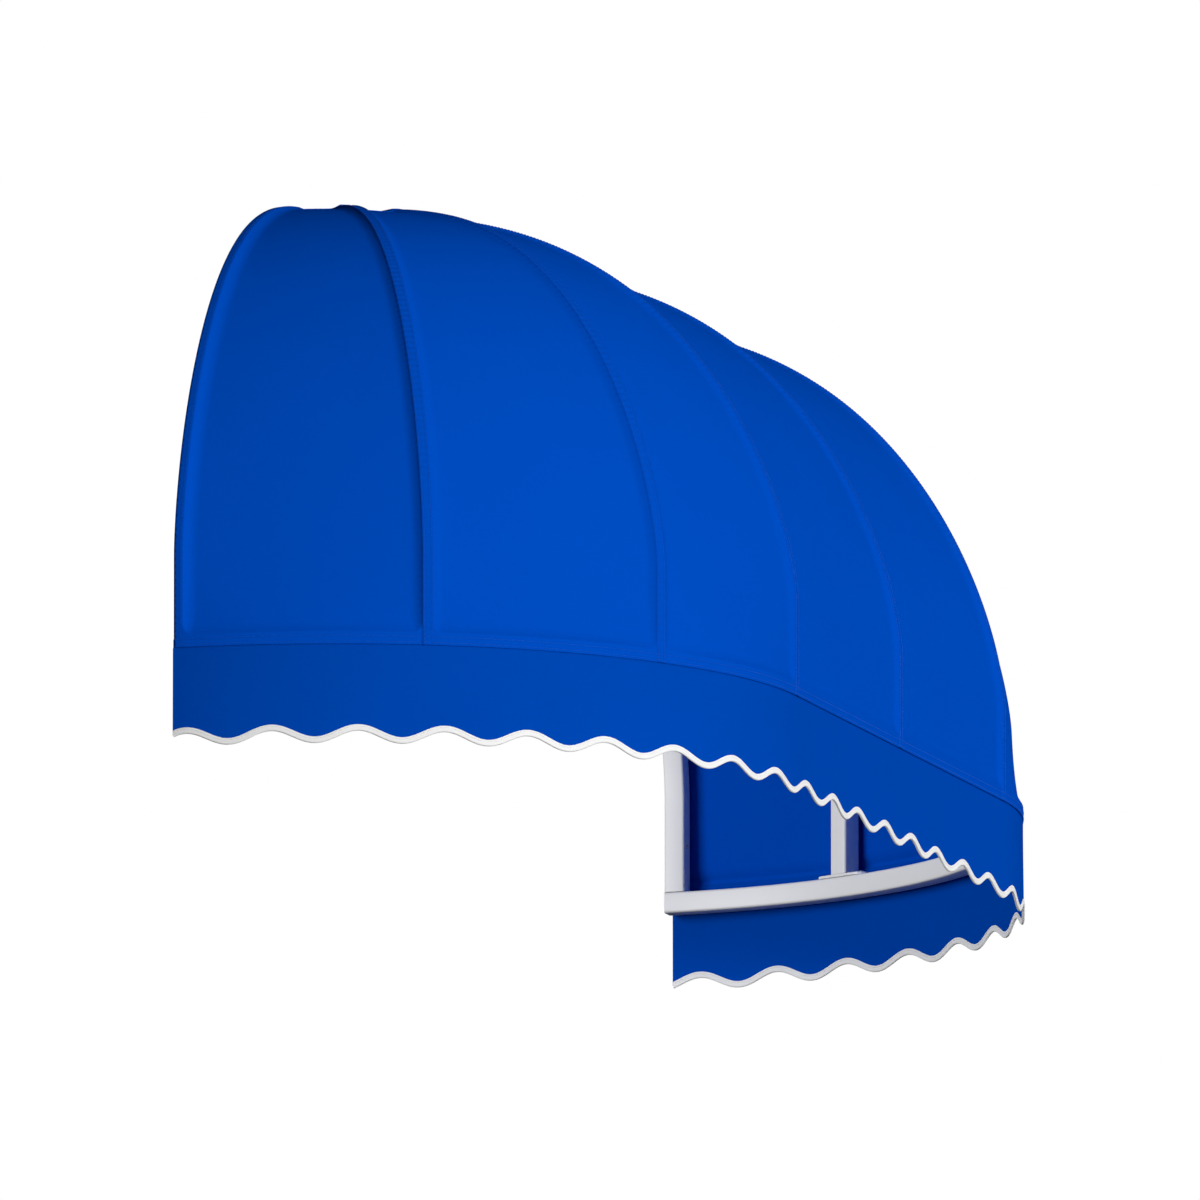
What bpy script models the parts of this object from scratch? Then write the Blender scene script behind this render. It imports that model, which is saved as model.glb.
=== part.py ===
"""Elongated dome window awning: a square-tube frame under a gored cloth cover.

The origin is the middle of the wall header's back face. The wall is the plane Y = 0,
+X runs along it and +Z is up, so the awning stands out towards -Y and hangs below
the header. Each side of the plan is a straight run between two elliptical caps, and
the same rounded profile rises over the whole of it.
"""
import math

import bmesh
import bpy
import numpy as np
from mathutils import Matrix, Vector

# Driving dimensions, in metres
WIDTH = 1.940                 # along the wall, over the cloth
DEPTH = 0.598                 # from the wall to the front of the cloth
STRAIGHT_HALF = 0.410         # half of the straight run at the front
HEADER_TO_BAR = 0.5937        # from the header's middle down to the front bar's middle
HEADER_TO_SPRING = 0.4669     # below this the cover hangs straight down
VALANCE_DROP = 0.0930         # from the front bar's middle to the middle of the scallops
TOP_RATIO = 0.225             # size of the top bow as a share of the full plan
PLAN_POWER = 2.69             # roundness of the profile towards the front of the cover
RISE_POWER = 1.57             # and towards its top, where 2 and 2 make an ellipse

# Frame stock
TUBE = 0.0254                 # square tube, outside
TUBE_WALL = 0.0015
TUBE_INSET = 0.010            # from the outside of the seams in to the tube
GAP = 0.0003                  # between pieces that touch

# Ribs: places round the plan. 0 to 1 is the left cap, 1 to 3 the straight run and
# 3 to 4 the right cap, each cap place being a share of its quarter turn.
RIB_PLACES = (29.5 / 90, 60 / 90, 1, 2, 3, 4 - 60 / 90, 4 - 25 / 90)

# Cloth
CLOTH = 0.002                 # thickness of the cover, with its seams and hems
FULLNESS = 0.38               # 0 is cloth stretched flat from seam to seam, 1 follows the plan
FULLNESS_FADE = 0.060         # height over which a gore lets go of the front bar's curve
CROWN_FADE = 0.08             # share of the plan over which it takes up the top bow's curve
SUNK = 0.004                  # how far a gore lies inside its seams
SEAM_HALF = 0.006             # half of the raised seam
SEAM_FOOT = 0.020             # where the gore has reached its own level
WALL_SEAM = 0.012             # the same two widths beside the wall
WALL_SEAM_FOOT = 0.030
BAND_TOP = 0.030              # raised band above the front bar's middle
BAND_FOOT = 0.044
SKIRT_ROWS = (0.070, 0.095)   # heights above the front bar's middle
VALANCE_TOP = 0.0152          # top of the valance above the front bar's middle
SCALLOP_LENGTH = 0.1035
SCALLOP_HALF_HEIGHT = 0.0075
SCALLOP_START = -0.16         # share of a scallop at the left end of the valance
BINDING_HEIGHT = 0.0077
BINDING_THICKNESS = 0.0030

# Fittings
PLATE = 0.003
PLATE_HALF_LENGTH = 0.038
PLATE_HALF_WIDTH = 0.0125
SPIGOT_HALF = 0.0100
SPIGOT_LENGTH = 0.028
CROWN_HALF = 0.0110
CROWN_SPIGOT_HALF = 0.0085
CROWN_SPIGOT_LENGTH = 0.020
SCREW_OFFSET = 0.0265
SCREW_HOLE_RADIUS = 0.0024
SCREW_SHANK_RADIUS = 0.0020
SCREW_HEAD_RADIUS = 0.0042
SCREW_HEAD_HEIGHT = 0.0026
SCREW_LENGTH = 0.009
WALL_HOLE_RADIUS = 0.0035
HEADER_CLEARANCE = 0.0045     # at each end, because the top bow curves inwards there
HEADER_HOLES = (-0.42, -0.16, 0.16, 0.42)
ARCH_HOLES = (0.10, 0.62)     # share of the way up each wall arch

# Steps round curves
CAP_STEPS = 12
RIB_STEPS = 12
GORE_ROWS = 10
GORE_COLUMNS = 3
SCALLOP_STEPS = 6
ROUND_STEPS = 10

# Derived sizes
CAP_X = WIDTH / 2 - STRAIGHT_HALF
BAR_Z = -HEADER_TO_BAR
SPRING_Z = -HEADER_TO_SPRING
HEADER_TO_CREST = TUBE / 2 + TUBE_INSET
PEAK = HEADER_TO_CREST - SPRING_Z
RISE = PEAK / (1 - TOP_RATIO ** PLAN_POWER) ** (1 / RISE_POWER)
HALF = TUBE / 2
SCALLOP_Z = BAR_Z - VALANCE_DROP
LAST_PLACE = 4.0


def material(name, colour, roughness, metallic=0.0):
    """A plain Principled material."""
    made = bpy.data.materials.new(name)
    made.use_nodes = True
    shader = made.node_tree.nodes["Principled BSDF"]
    shader.inputs["Base Color"].default_value = (*colour, 1.0)
    shader.inputs["Roughness"].default_value = roughness
    shader.inputs["Metallic"].default_value = metallic
    return made


def add_object(name, mesh, finish):
    """Put a mesh into the scene as one named piece with its own material slot."""
    made = bpy.data.objects.new(name, mesh)
    bpy.context.scene.collection.objects.link(made)
    if not mesh.materials:
        mesh.materials.append(finish)
    return made


def mesh_from(name, points, faces):
    """A mesh from points and faces, with its faces turned outwards."""
    mesh = bpy.data.meshes.new(name)
    mesh.from_pydata([tuple(p) for p in points], [], faces)
    body = bmesh.new()
    body.from_mesh(mesh)
    bmesh.ops.recalc_face_normals(body, faces=body.faces)
    body.to_mesh(mesh)
    body.free()
    return mesh


# The plan and the profile ------------------------------------------------------

def ray(place):
    """Foot and full-size reach of the plan at a place round it, as plan vectors."""
    if place <= 1:
        turn = math.radians(90 * place)
        return (Vector((-STRAIGHT_HALF, 0, 0)),
                Vector((-CAP_X * math.cos(turn), -DEPTH * math.sin(turn), 0)))
    if place >= 3:
        turn = math.radians(90 * (LAST_PLACE - place))
        return (Vector((STRAIGHT_HALF, 0, 0)),
                Vector((CAP_X * math.cos(turn), -DEPTH * math.sin(turn), 0)))
    return Vector((STRAIGHT_HALF * (place - 2), 0, 0)), Vector((0, -DEPTH, 0))


def plan_normal(place):
    """Outward normal of the plan curve."""
    reach = ray(place)[1]
    return Vector((reach.x / CAP_X ** 2, reach.y / DEPTH ** 2, 0)).normalized()


def plan_point(place, ratio, inset):
    """A point of the plan at a share of its size, moved inwards."""
    foot, reach = ray(place)
    return foot + ratio * reach - inset * plan_normal(place)


def plan_places(cap_steps=CAP_STEPS):
    """Places that follow the caps closely, with the straight run in one step."""
    left = [step / cap_steps for step in range(cap_steps + 1)]
    return left + [LAST_PLACE - place for place in reversed(left)]


def profile(turn):
    """Share of the plan and height above the spring line at a turn of the profile."""
    return math.cos(turn) ** (2 / PLAN_POWER), RISE * math.sin(turn) ** (2 / RISE_POWER)


TOP_TURN = math.acos(TOP_RATIO ** (PLAN_POWER / 2))
TURN_SEARCH = (0.5, TOP_TURN + 0.2)   # turns between which a rib's upper end lies
TURN_HALVINGS = 40            # halvings of that span, to far below a micrometre


def slopes(turn):
    """How fast the profile's equation grows outwards, for a plan of size 1, and upwards."""
    ratio, height = profile(turn)
    outwards = PLAN_POWER * ratio ** (PLAN_POWER - 1)
    return outwards, RISE_POWER * (height / RISE) ** (RISE_POWER - 1) / RISE


def surface(place, turn, below=0.0):
    """A point of the domed surface through the seams. below drops it to the skirt."""
    foot, reach = ray(place)
    ratio, height = profile(turn)
    point = foot + ratio * reach
    point.z = SPRING_Z + height - below
    return point


def surface_normal(place, turn):
    """Outward normal of the domed surface."""
    reach = ray(place)[1]
    outwards, upwards = slopes(turn)
    normal = Vector((reach.x / CAP_X ** 2, reach.y / DEPTH ** 2, 0)) * outwards
    normal.z = upwards
    return normal.normalized()


# Square tube --------------------------------------------------------------------

def tube_mesh(name, sections):
    """A hollow square tube through (middle, half side, half side) sections."""
    points = []
    for middle, across, along in sections:
        for scale in (1.0, 1 - TUBE_WALL / HALF):
            for a, b in ((-1, -1), (1, -1), (1, 1), (-1, 1)):
                points.append(middle + scale * (a * across + b * along))
    faces = []
    for start in range(0, len(points) - 8, 8):
        for ring in (0, 4):
            for corner in range(4):
                here = start + ring + corner
                beside = start + ring + (corner + 1) % 4
                faces.append((here, beside, beside + 8, here + 8))
    for end in (0, len(points) - 8):
        for corner in range(4):
            beside = (corner + 1) % 4
            faces.append((end + corner, end + beside, end + beside + 4, end + corner + 4))
    return mesh_from(name, points, faces)


def bow_sections(ratio, inset, height):
    """Sections of a level tube that follows the plan from wall to wall."""
    up = Vector((0, 0, HALF))
    sections = []
    for place in plan_places():
        middle = plan_point(place, ratio, inset + HALF)
        middle.z = height
        sections.append((middle, plan_normal(place) * HALF, up))
    return sections


def rib_frame(reach, turn):
    """Reach, height and outward tilt of the seam above a rib at a turn of the profile."""
    ratio, height = profile(turn)
    outwards, upwards = slopes(turn)
    return ratio * reach, SPRING_Z + height, Vector((outwards / reach, upwards)).normalized()


def rib_end_turn(reach, end_reach):
    """Turn of the profile where the rib's middle line reaches the top bow."""
    low, high = TURN_SEARCH
    for _ in range(TURN_HALVINGS):
        middle = (low + high) / 2
        out, _, tilt = rib_frame(reach, middle)
        if out - (TUBE_INSET + HALF) * tilt.x > end_reach:
            low = middle
        else:
            high = middle
    return (low + high) / 2


def rib_sections(place, foot_z, shift=0.0):
    """Sections of a rib, from its foot up and over to the top bow."""
    foot, reach_vector = ray(place)
    reach = reach_vector.length
    out = reach_vector.normalized()
    side = Vector((out.y, -out.x, 0)) * HALF
    base = foot + Vector((0, shift, 0))
    end_reach = top_bow_reach(place) + PLATE + 2 * GAP
    if shift:
        end_reach = TOP_RATIO * reach + GAP
    last = rib_end_turn(reach, end_reach)

    sections = []
    start = base + out * (reach - TUBE_INSET - HALF)
    start.z = foot_z
    sections.append((start, out * HALF, side))
    for step in range(RIB_STEPS + 1):
        distance, height, tilt = rib_frame(reach, last * step / RIB_STEPS)
        middle = base + out * (distance - (TUBE_INSET + HALF) * tilt.x)
        middle.z = height - (TUBE_INSET + HALF) * tilt.y
        across = (out * tilt.x + Vector((0, 0, tilt.y))) * HALF
        if step == RIB_STEPS:
            across = Vector((0, 0, HALF / tilt.y))
        sections.append((middle, across, side))
    return sections


def top_bow_reach(place):
    """Distance from a plan ray's foot to the outside of the top bow along the ray."""
    return TOP_RATIO * ray(place)[1].length


# Cutting ------------------------------------------------------------------------

def cut_holes(target, name, axes, radius, length):
    """Drill round holes along (middle, direction) axes through a piece."""
    points = []
    faces = []
    for middle, direction in axes:
        turn = direction.to_track_quat("Z", "Y").to_matrix()
        first = len(points)
        for end in (-length / 2, length / 2):
            for step in range(ROUND_STEPS):
                angle = 2 * math.pi * step / ROUND_STEPS
                local = Vector((radius * math.cos(angle), radius * math.sin(angle), end))
                points.append(middle + turn @ local)
        ring = list(range(ROUND_STEPS))
        faces.append([first + i for i in reversed(ring)])
        faces.append([first + ROUND_STEPS + i for i in ring])
        for i in ring:
            j = (i + 1) % ROUND_STEPS
            faces.append((first + i, first + j, first + ROUND_STEPS + j,
                          first + ROUND_STEPS + i))
    cutter = bpy.data.objects.new(name, mesh_from(name, points, faces))
    bpy.context.scene.collection.objects.link(cutter)
    cutter.hide_render = True
    cutter.display_type = "WIRE"
    drill = target.modifiers.new("Holes", "BOOLEAN")
    drill.operation = "DIFFERENCE"
    drill.object = cutter


# Frame --------------------------------------------------------------------------

def foot_middle(place):
    """Middle of a rib's foot on the front bar."""
    foot, reach = ray(place)
    return foot + reach.normalized() * (reach.length - TUBE_INSET - HALF)


def bar_direction(place):
    """Direction of the front bar under a place, level."""
    normal = plan_normal(place)
    return Vector((-normal.y, normal.x, 0))


def make_front_bow(finish):
    """The bar that carries the ribs and runs from wall to wall."""
    mesh = tube_mesh("front_bow_tube", bow_sections(1.0, TUBE_INSET, BAR_Z))
    bar = add_object("front_bow_tube", mesh, finish)
    axes = []
    for place in RIB_PLACES:
        for side in (-1, 1):
            middle = foot_middle(place) + side * SCREW_OFFSET * bar_direction(place)
            middle.z = BAR_Z + HALF - TUBE_WALL / 2
            axes.append((middle, Vector((0, 0, 1))))
    cut_holes(bar, "front_bow_screw_holes", axes, SCREW_HOLE_RADIUS, 4 * TUBE_WALL)


def make_top_bow(finish):
    """The small bow that gathers the ribs under the crown."""
    add_object("top_bow_tube", tube_mesh("top_bow_tube", bow_sections(TOP_RATIO, 0.0, 0.0)),
               finish)


def make_header(finish):
    """The straight wall rail between the ends of the top bow, drilled for wall screws."""
    end = STRAIGHT_HALF + TOP_RATIO * CAP_X - TUBE - HEADER_CLEARANCE
    sections = [(Vector((x, -HALF, 0)), Vector((0, HALF, 0)), Vector((0, 0, HALF)))
                for x in (-end, end)]
    header = add_object("wall_header_tube", tube_mesh("wall_header_tube", sections), finish)
    axes = [(Vector((x, -HALF, 0)), Vector((0, 1, 0))) for x in HEADER_HOLES]
    cut_holes(header, "header_wall_holes", axes, WALL_HOLE_RADIUS, 2 * TUBE)


def make_arch(name, place, finish):
    """A wall arch, flat against the wall, standing on the end of the front bar."""
    sections = rib_sections(place, BAR_Z + HALF + GAP, shift=-HALF)
    arch = add_object(name, tube_mesh(name, sections), finish)
    axes = []
    for share in ARCH_HOLES:
        spot = share * (len(sections) - 1)
        low = int(spot)
        middle = sections[low][0].lerp(sections[low + 1][0], spot - low)
        axes.append((middle, Vector((0, 1, 0))))
    cut_holes(arch, name + "_wall_holes", axes, WALL_HOLE_RADIUS, 2 * TUBE)


def make_rib(name, place, finish):
    """A rib from the front bar to the top bow."""
    foot_z = BAR_Z + HALF + PLATE + 2 * GAP
    add_object(name, tube_mesh(name, rib_sections(place, foot_z)), finish)


def ring_points(radius, x=0.0, y=0.0, steps=ROUND_STEPS, start=0.0, sweep=2 * math.pi):
    """Points round a circle or an arc."""
    closed = abs(sweep - 2 * math.pi) < 1e-6
    count = steps if closed else steps + 1
    return [(x + radius * math.cos(start + sweep * i / steps),
             y + radius * math.sin(start + sweep * i / steps)) for i in range(count)]


def plate_mesh(name, outline, holes, spigot_half, spigot_length, lean):
    """A flat plate on Z = 0 with round holes and a square spigot that leans along X."""
    body = bmesh.new()

    def loop(points, height, offset=0.0):
        ring = [body.verts.new((x + offset, y, height)) for x, y in points]
        edges = [body.edges.new((ring[i], ring[(i + 1) % len(ring)]))
                 for i in range(len(ring))]
        return ring, edges

    def wall(low, high):
        for i in range(len(low)):
            j = (i + 1) % len(low)
            body.faces.new((low[i], low[j], high[j], high[i]))

    h = spigot_half
    square = [(-h, -h), (h, -h), (h, h), (-h, h)]
    bottom_edges = []
    top_edges = []
    for points in [outline] + holes:
        low, low_edges = loop(points, 0.0)
        high, high_edges = loop(points, PLATE)
        wall(low, high)
        bottom_edges += low_edges
        top_edges += high_edges
    root, root_edges = loop(square, PLATE)
    tip, _ = loop(square, PLATE + spigot_length, lean)
    wall(root, tip)
    body.faces.new(tip)
    bmesh.ops.triangle_fill(body, edges=bottom_edges, use_beauty=True)
    bmesh.ops.triangle_fill(body, edges=top_edges + root_edges, use_beauty=True)
    bmesh.ops.recalc_face_normals(body, faces=body.faces)
    mesh = bpy.data.meshes.new(name)
    body.to_mesh(mesh)
    body.free()
    return mesh


def foot_plate_mesh():
    """A rounded plate with two screw holes and the spigot that holds a rib's foot."""
    corner = PLATE_HALF_WIDTH
    middle = PLATE_HALF_LENGTH - corner
    outline = ring_points(corner, middle, 0, 8, -math.pi / 2, math.pi)
    outline += ring_points(corner, -middle, 0, 8, math.pi / 2, math.pi)
    holes = [ring_points(SCREW_HOLE_RADIUS, x) for x in (-SCREW_OFFSET, SCREW_OFFSET)]
    return plate_mesh("foot_plate", outline, holes, SPIGOT_HALF, SPIGOT_LENGTH, 0.0)


def make_foot_plates(finish):
    """One plate on the front bar under each rib."""
    shared = foot_plate_mesh()
    for number, place in enumerate(RIB_PLACES, 1):
        plate = add_object("rib_%d_foot_plate" % number, shared, finish)
        along = bar_direction(place)
        plate.matrix_world = placed(foot_middle(place), along, BAR_Z + HALF + GAP)


def placed(middle, along, height):
    """Matrix of a piece that stands at a height with its X along a level direction."""
    turn = math.atan2(along.y, along.x)
    return Matrix.Translation((middle.x, middle.y, height)) @ Matrix.Rotation(turn, 4, "Z")


def make_crown_plates(finish):
    """One socket plate on the top bow for the upper end of each rib."""
    h = CROWN_HALF
    outline = [(-h, -h), (h, -h), (h, h), (-h, h)]
    for number, place in enumerate(RIB_PLACES, 1):
        foot, reach = ray(place)
        middle = rib_sections(place, SPRING_Z)[-1][0]
        before = rib_sections(place, SPRING_Z)[-2][0]
        run = before - middle
        level = math.hypot(run.x, run.y)
        lean = run.z / level * CROWN_SPIGOT_LENGTH
        name = "rib_%d_crown_plate" % number
        mesh = plate_mesh(name, outline, [], CROWN_SPIGOT_HALF, CROWN_SPIGOT_LENGTH, lean)
        plate = add_object(name, mesh, finish)
        out = reach.normalized()
        root = foot + out * (top_bow_reach(place) + GAP)
        up = Vector((0, 0, 1))
        turn = Matrix((up, out.cross(up), out)).transposed().to_4x4()
        plate.matrix_world = Matrix.Translation((root.x, root.y, middle.z)) @ turn


def screw_mesh():
    """A domed screw with its shank pointing down, its head resting on Z = 0."""
    head = [(SCREW_SHANK_RADIUS, -SCREW_LENGTH), (SCREW_SHANK_RADIUS, 0.0),
            (SCREW_HEAD_RADIUS, 0.0), (SCREW_HEAD_RADIUS, 0.4 * SCREW_HEAD_HEIGHT),
            (0.7 * SCREW_HEAD_RADIUS, 0.85 * SCREW_HEAD_HEIGHT),
            (0.3 * SCREW_HEAD_RADIUS, SCREW_HEAD_HEIGHT)]
    points = []
    for radius, height in head:
        points += [(x, y, height) for x, y in ring_points(radius)]
    faces = [list(range(ROUND_STEPS)), list(range(len(points) - ROUND_STEPS, len(points)))]
    for ring in range(len(head) - 1):
        for i in range(ROUND_STEPS):
            here = ring * ROUND_STEPS + i
            beside = ring * ROUND_STEPS + (i + 1) % ROUND_STEPS
            faces.append((here, beside, beside + ROUND_STEPS, here + ROUND_STEPS))
    mesh = mesh_from("foot_screw", points, faces)
    mesh.shade_smooth()
    mesh.set_sharp_from_angle(angle=math.radians(35))
    return mesh


def make_screws(finish):
    """Two screws through each foot plate into the front bar."""
    shared = screw_mesh()
    height = BAR_Z + HALF + PLATE + 2 * GAP
    for number, place in enumerate(RIB_PLACES, 1):
        for hand, side in (("a", -1), ("b", 1)):
            screw = add_object("rib_%d_screw_%s" % (number, hand), shared, finish)
            middle = foot_middle(place) + side * SCREW_OFFSET * bar_direction(place)
            screw.matrix_world = placed(middle, bar_direction(place), height)


# Cover --------------------------------------------------------------------------

def shell_mesh(name, outer, inner):
    """A closed sheet between two grids of points with the same rows and columns."""
    rows = len(outer)
    columns = len(outer[0])
    points = [p for row in outer for p in row] + [p for row in inner for p in row]
    shift = rows * columns
    faces = []
    for row in range(rows - 1):
        for column in range(columns - 1):
            a = row * columns + column
            b = a + 1
            c = b + columns
            d = a + columns
            faces.append((a, b, c, d))
            faces.append((d + shift, c + shift, b + shift, a + shift))
    rim = [(r, 0) for r in range(rows)] + [(rows - 1, c) for c in range(1, columns)]
    rim += [(r, columns - 1) for r in range(rows - 2, -1, -1)]
    rim += [(0, c) for c in range(columns - 2, 0, -1)]
    for i, (row, column) in enumerate(rim):
        next_row, next_column = rim[(i + 1) % len(rim)]
        a = row * columns + column
        b = next_row * columns + next_column
        faces.append((a, a + shift, b + shift, b))
    return mesh_from(name, points, faces)


def gore_width(first, last, ratio):
    """Width of a gore at a share of the plan, along its edge."""
    steps = 8
    places = np.linspace(first, last, steps + 1)
    corners = [plan_point(place, ratio, 0.0) for place in places]
    return sum((b - a).length for a, b in zip(corners, corners[1:]))


def gore_columns(first, last, ratio):
    """Places across a gore with the share of its sunk depth at each."""
    width = gore_width(first, last, ratio)
    left = (0.0, WALL_SEAM, WALL_SEAM_FOOT)
    right = (0.0, WALL_SEAM, WALL_SEAM_FOOT)
    if first > 0:
        left = (GAP / 2, SEAM_HALF, SEAM_FOOT)
    if last < LAST_PLACE:
        right = (GAP / 2, SEAM_HALF, SEAM_FOOT)
    distances = [(left[0], 0), (left[1], 0), (left[2], 1)]
    room = width - left[2] - right[2]
    for step in range(1, GORE_COLUMNS):
        distances.append((left[2] + room * step / GORE_COLUMNS, 1))
    distances += [(width - right[2], 1), (width - right[1], 0), (width - right[0], 0)]
    return [(first + (last - first) * d / width, sunk) for d, sunk in distances]


def gore_rows():
    """Turn of the profile, drop below the spring line and share sunk, for each row."""
    spring = HEADER_TO_BAR - HEADER_TO_SPRING
    rows = [(0.0, spring - VALANCE_TOP - GAP, 0), (0.0, spring - BAND_TOP, 0)]
    rows += [(0.0, spring - height, 1) for height in (BAND_FOOT,) + SKIRT_ROWS]
    rows += [(TOP_TURN * step / GORE_ROWS, 0.0, 1) for step in range(GORE_ROWS + 1)]
    return rows


def fullness(turn, below):
    """How far a gore follows the curved plan instead of lying flat between its seams."""
    ratio, height = profile(turn)
    climbed = max(0.0, SPRING_Z + height - below - BAR_Z - BAND_TOP)
    loose = math.exp(-climbed / FULLNESS_FADE)
    gathered = math.exp(-(ratio - TOP_RATIO) / CROWN_FADE)
    return min(1.0, FULLNESS + (1 - FULLNESS) * (loose + gathered))


def gore_point(first, last, place, turn, below, depth):
    """A point of a gore, stretched between the seams at its two edges."""
    share = (place - first) / (last - first)
    flat = surface(first, turn, below).lerp(surface(last, turn, below), share)
    curved = surface(place, turn, below)
    point = flat.lerp(curved, fullness(turn, below))
    return point - depth * surface_normal(place, turn)


def make_gore(name, first, last, finish):
    """One cut panel of the cover, from the middle of one seam to the next."""
    outer = []
    inner = []
    for turn, below, row_sunk in gore_rows():
        columns = gore_columns(first, last, profile(turn)[0])
        for grid, extra in ((outer, 0.0), (inner, CLOTH)):
            grid.append([gore_point(first, last, place, turn, below,
                                    SUNK * sunk * row_sunk + extra)
                         for place, sunk in columns])
    add_object(name, shell_mesh(name, outer, inner), finish)


def make_top_panel(finish):
    """The flat cloth between the top bow and the wall."""
    inset = CLOTH
    places = [place for place in plan_places() if 0 < place < LAST_PLACE]
    rim = [plan_point(place, TOP_RATIO, inset) for place in places]
    wall = [plan_point(0.0, TOP_RATIO, inset), plan_point(LAST_PLACE, TOP_RATIO, inset)]
    rim = [wall[0]] + rim + [wall[1]]
    back = [Vector((point.x, 0, 0)) for point in rim]
    grids = []
    for height in (HEADER_TO_CREST - SUNK, HEADER_TO_CREST - SUNK - CLOTH):
        level = Vector((0, 0, height))
        grids.append([[point + level for point in rim[1:-1]],
                      [point + level for point in back[1:-1]]])
    add_object("top_panel", shell_mesh("top_panel", *grids), finish)


def run_places():
    """Places at even lengths along the whole valance, with the length at each."""
    fine = np.linspace(0.0, LAST_PLACE, 801)
    points = [plan_point(place, 1.0, 0.0) for place in fine]
    steps = [(b - a).length for a, b in zip(points, points[1:])]
    lengths = np.concatenate(([0.0], np.cumsum(steps)))
    count = int(SCALLOP_STEPS * lengths[-1] / SCALLOP_LENGTH)
    even = np.linspace(0.0, lengths[-1], count + 1)
    return list(zip(np.interp(even, lengths, fine), even))


def scallop(length):
    """Height of the scalloped edge's middle line at a length along it."""
    turn = 2 * math.pi * (length / SCALLOP_LENGTH + SCALLOP_START)
    return SCALLOP_Z + SCALLOP_HALF_HEIGHT * math.cos(turn)


def hanging_strip(name, thickness, proud, top, bottom, finish):
    """A strip that hangs along the whole plan between two edges."""
    grids = []
    for inset in (-proud, thickness - proud):
        low = []
        high = []
        for place, length in run_places():
            point = plan_point(float(place), 1.0, inset)
            low.append(Vector((point.x, point.y, bottom(length))))
            high.append(Vector((point.x, point.y, top(length))))
        grids.append([low, high])
    add_object(name, shell_mesh(name, *grids), finish)


def make_valance(finish):
    """The hanging strip with the scalloped lower edge."""
    hanging_strip("valance", CLOTH, 0.0, lambda length: BAR_Z + VALANCE_TOP,
                  lambda length: scallop(length) + BINDING_HEIGHT / 2 + GAP, finish)


def make_binding(finish):
    """The pale tape that binds the scallops."""
    proud = (BINDING_THICKNESS - CLOTH) / 2
    hanging_strip("valance_binding", BINDING_THICKNESS, proud,
                  lambda length: scallop(length) + BINDING_HEIGHT / 2,
                  lambda length: scallop(length) - BINDING_HEIGHT / 2, finish)


def main():
    for old in list(bpy.data.objects):
        bpy.data.objects.remove(old, do_unlink=True)
    powder = material("white_powder_coat", (0.78, 0.78, 0.78), 0.45)
    zinc = material("zinc_plated_steel", (0.62, 0.62, 0.62), 0.35, 1.0)
    cloth = material("blue_awning_cloth", (0.0, 0.075, 0.52), 0.85)
    tape = material("white_binding_tape", (0.85, 0.85, 0.85), 0.8)

    make_front_bow(powder)
    make_top_bow(powder)
    make_header(powder)
    make_arch("wall_arch_left", 0.0, powder)
    make_arch("wall_arch_right", LAST_PLACE, powder)
    for number, place in enumerate(RIB_PLACES, 1):
        make_rib("rib_%d" % number, place, powder)
    make_foot_plates(powder)
    make_crown_plates(powder)
    make_screws(zinc)

    seams = (0.0,) + RIB_PLACES + (LAST_PLACE,)
    for number, (first, last) in enumerate(zip(seams, seams[1:]), 1):
        make_gore("gore_%d" % number, first, last, cloth)
    make_top_panel(cloth)
    make_valance(cloth)
    make_binding(tape)


main()
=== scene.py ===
"""Looks of the window awning: tubes, canvas, trim, stitching, screws, floor and light.

Everything is in metres in the frame's own axes. The wall is the plane Y = 0, +X runs
along it, +Z is up, and the origin is the middle of the wall header's back face. A place
round the plan runs from 0 at the left end of the wall, over 1 to 3 along the straight
front, to 4 at the right end.
"""

import math

import bmesh
import bpy
import numpy as np
from mathutils import Matrix, Vector


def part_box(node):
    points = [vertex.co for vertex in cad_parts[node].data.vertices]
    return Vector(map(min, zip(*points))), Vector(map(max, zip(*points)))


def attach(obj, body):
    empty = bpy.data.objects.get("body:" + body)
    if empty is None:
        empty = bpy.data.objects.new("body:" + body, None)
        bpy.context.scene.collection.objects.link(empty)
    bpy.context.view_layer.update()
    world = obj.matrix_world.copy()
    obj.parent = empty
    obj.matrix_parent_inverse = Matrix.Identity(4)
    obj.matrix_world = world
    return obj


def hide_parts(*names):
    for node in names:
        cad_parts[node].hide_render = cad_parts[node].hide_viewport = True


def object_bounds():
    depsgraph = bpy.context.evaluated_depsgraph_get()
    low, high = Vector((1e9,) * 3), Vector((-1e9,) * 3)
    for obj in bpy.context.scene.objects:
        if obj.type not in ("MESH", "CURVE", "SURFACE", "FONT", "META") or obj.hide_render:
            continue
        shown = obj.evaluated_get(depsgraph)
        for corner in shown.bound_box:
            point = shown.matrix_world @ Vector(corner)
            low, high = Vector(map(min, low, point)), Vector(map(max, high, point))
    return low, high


bl_info = {
    "name": "Window Awning",
    "version": (1, 0, 0),
    "blender": (4, 5, 0),
    "location": "3D View > Sidebar > Awning",
    "description": "Dresses the window awning's frame with tubes, canvas, trim and a stage",
    "category": "Object",
}

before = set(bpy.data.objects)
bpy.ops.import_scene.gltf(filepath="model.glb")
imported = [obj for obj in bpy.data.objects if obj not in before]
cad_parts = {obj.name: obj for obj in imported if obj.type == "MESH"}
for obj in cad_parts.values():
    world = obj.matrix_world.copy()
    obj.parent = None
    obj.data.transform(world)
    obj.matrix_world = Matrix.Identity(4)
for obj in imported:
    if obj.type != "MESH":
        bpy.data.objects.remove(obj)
CAD_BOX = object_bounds()

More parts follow.
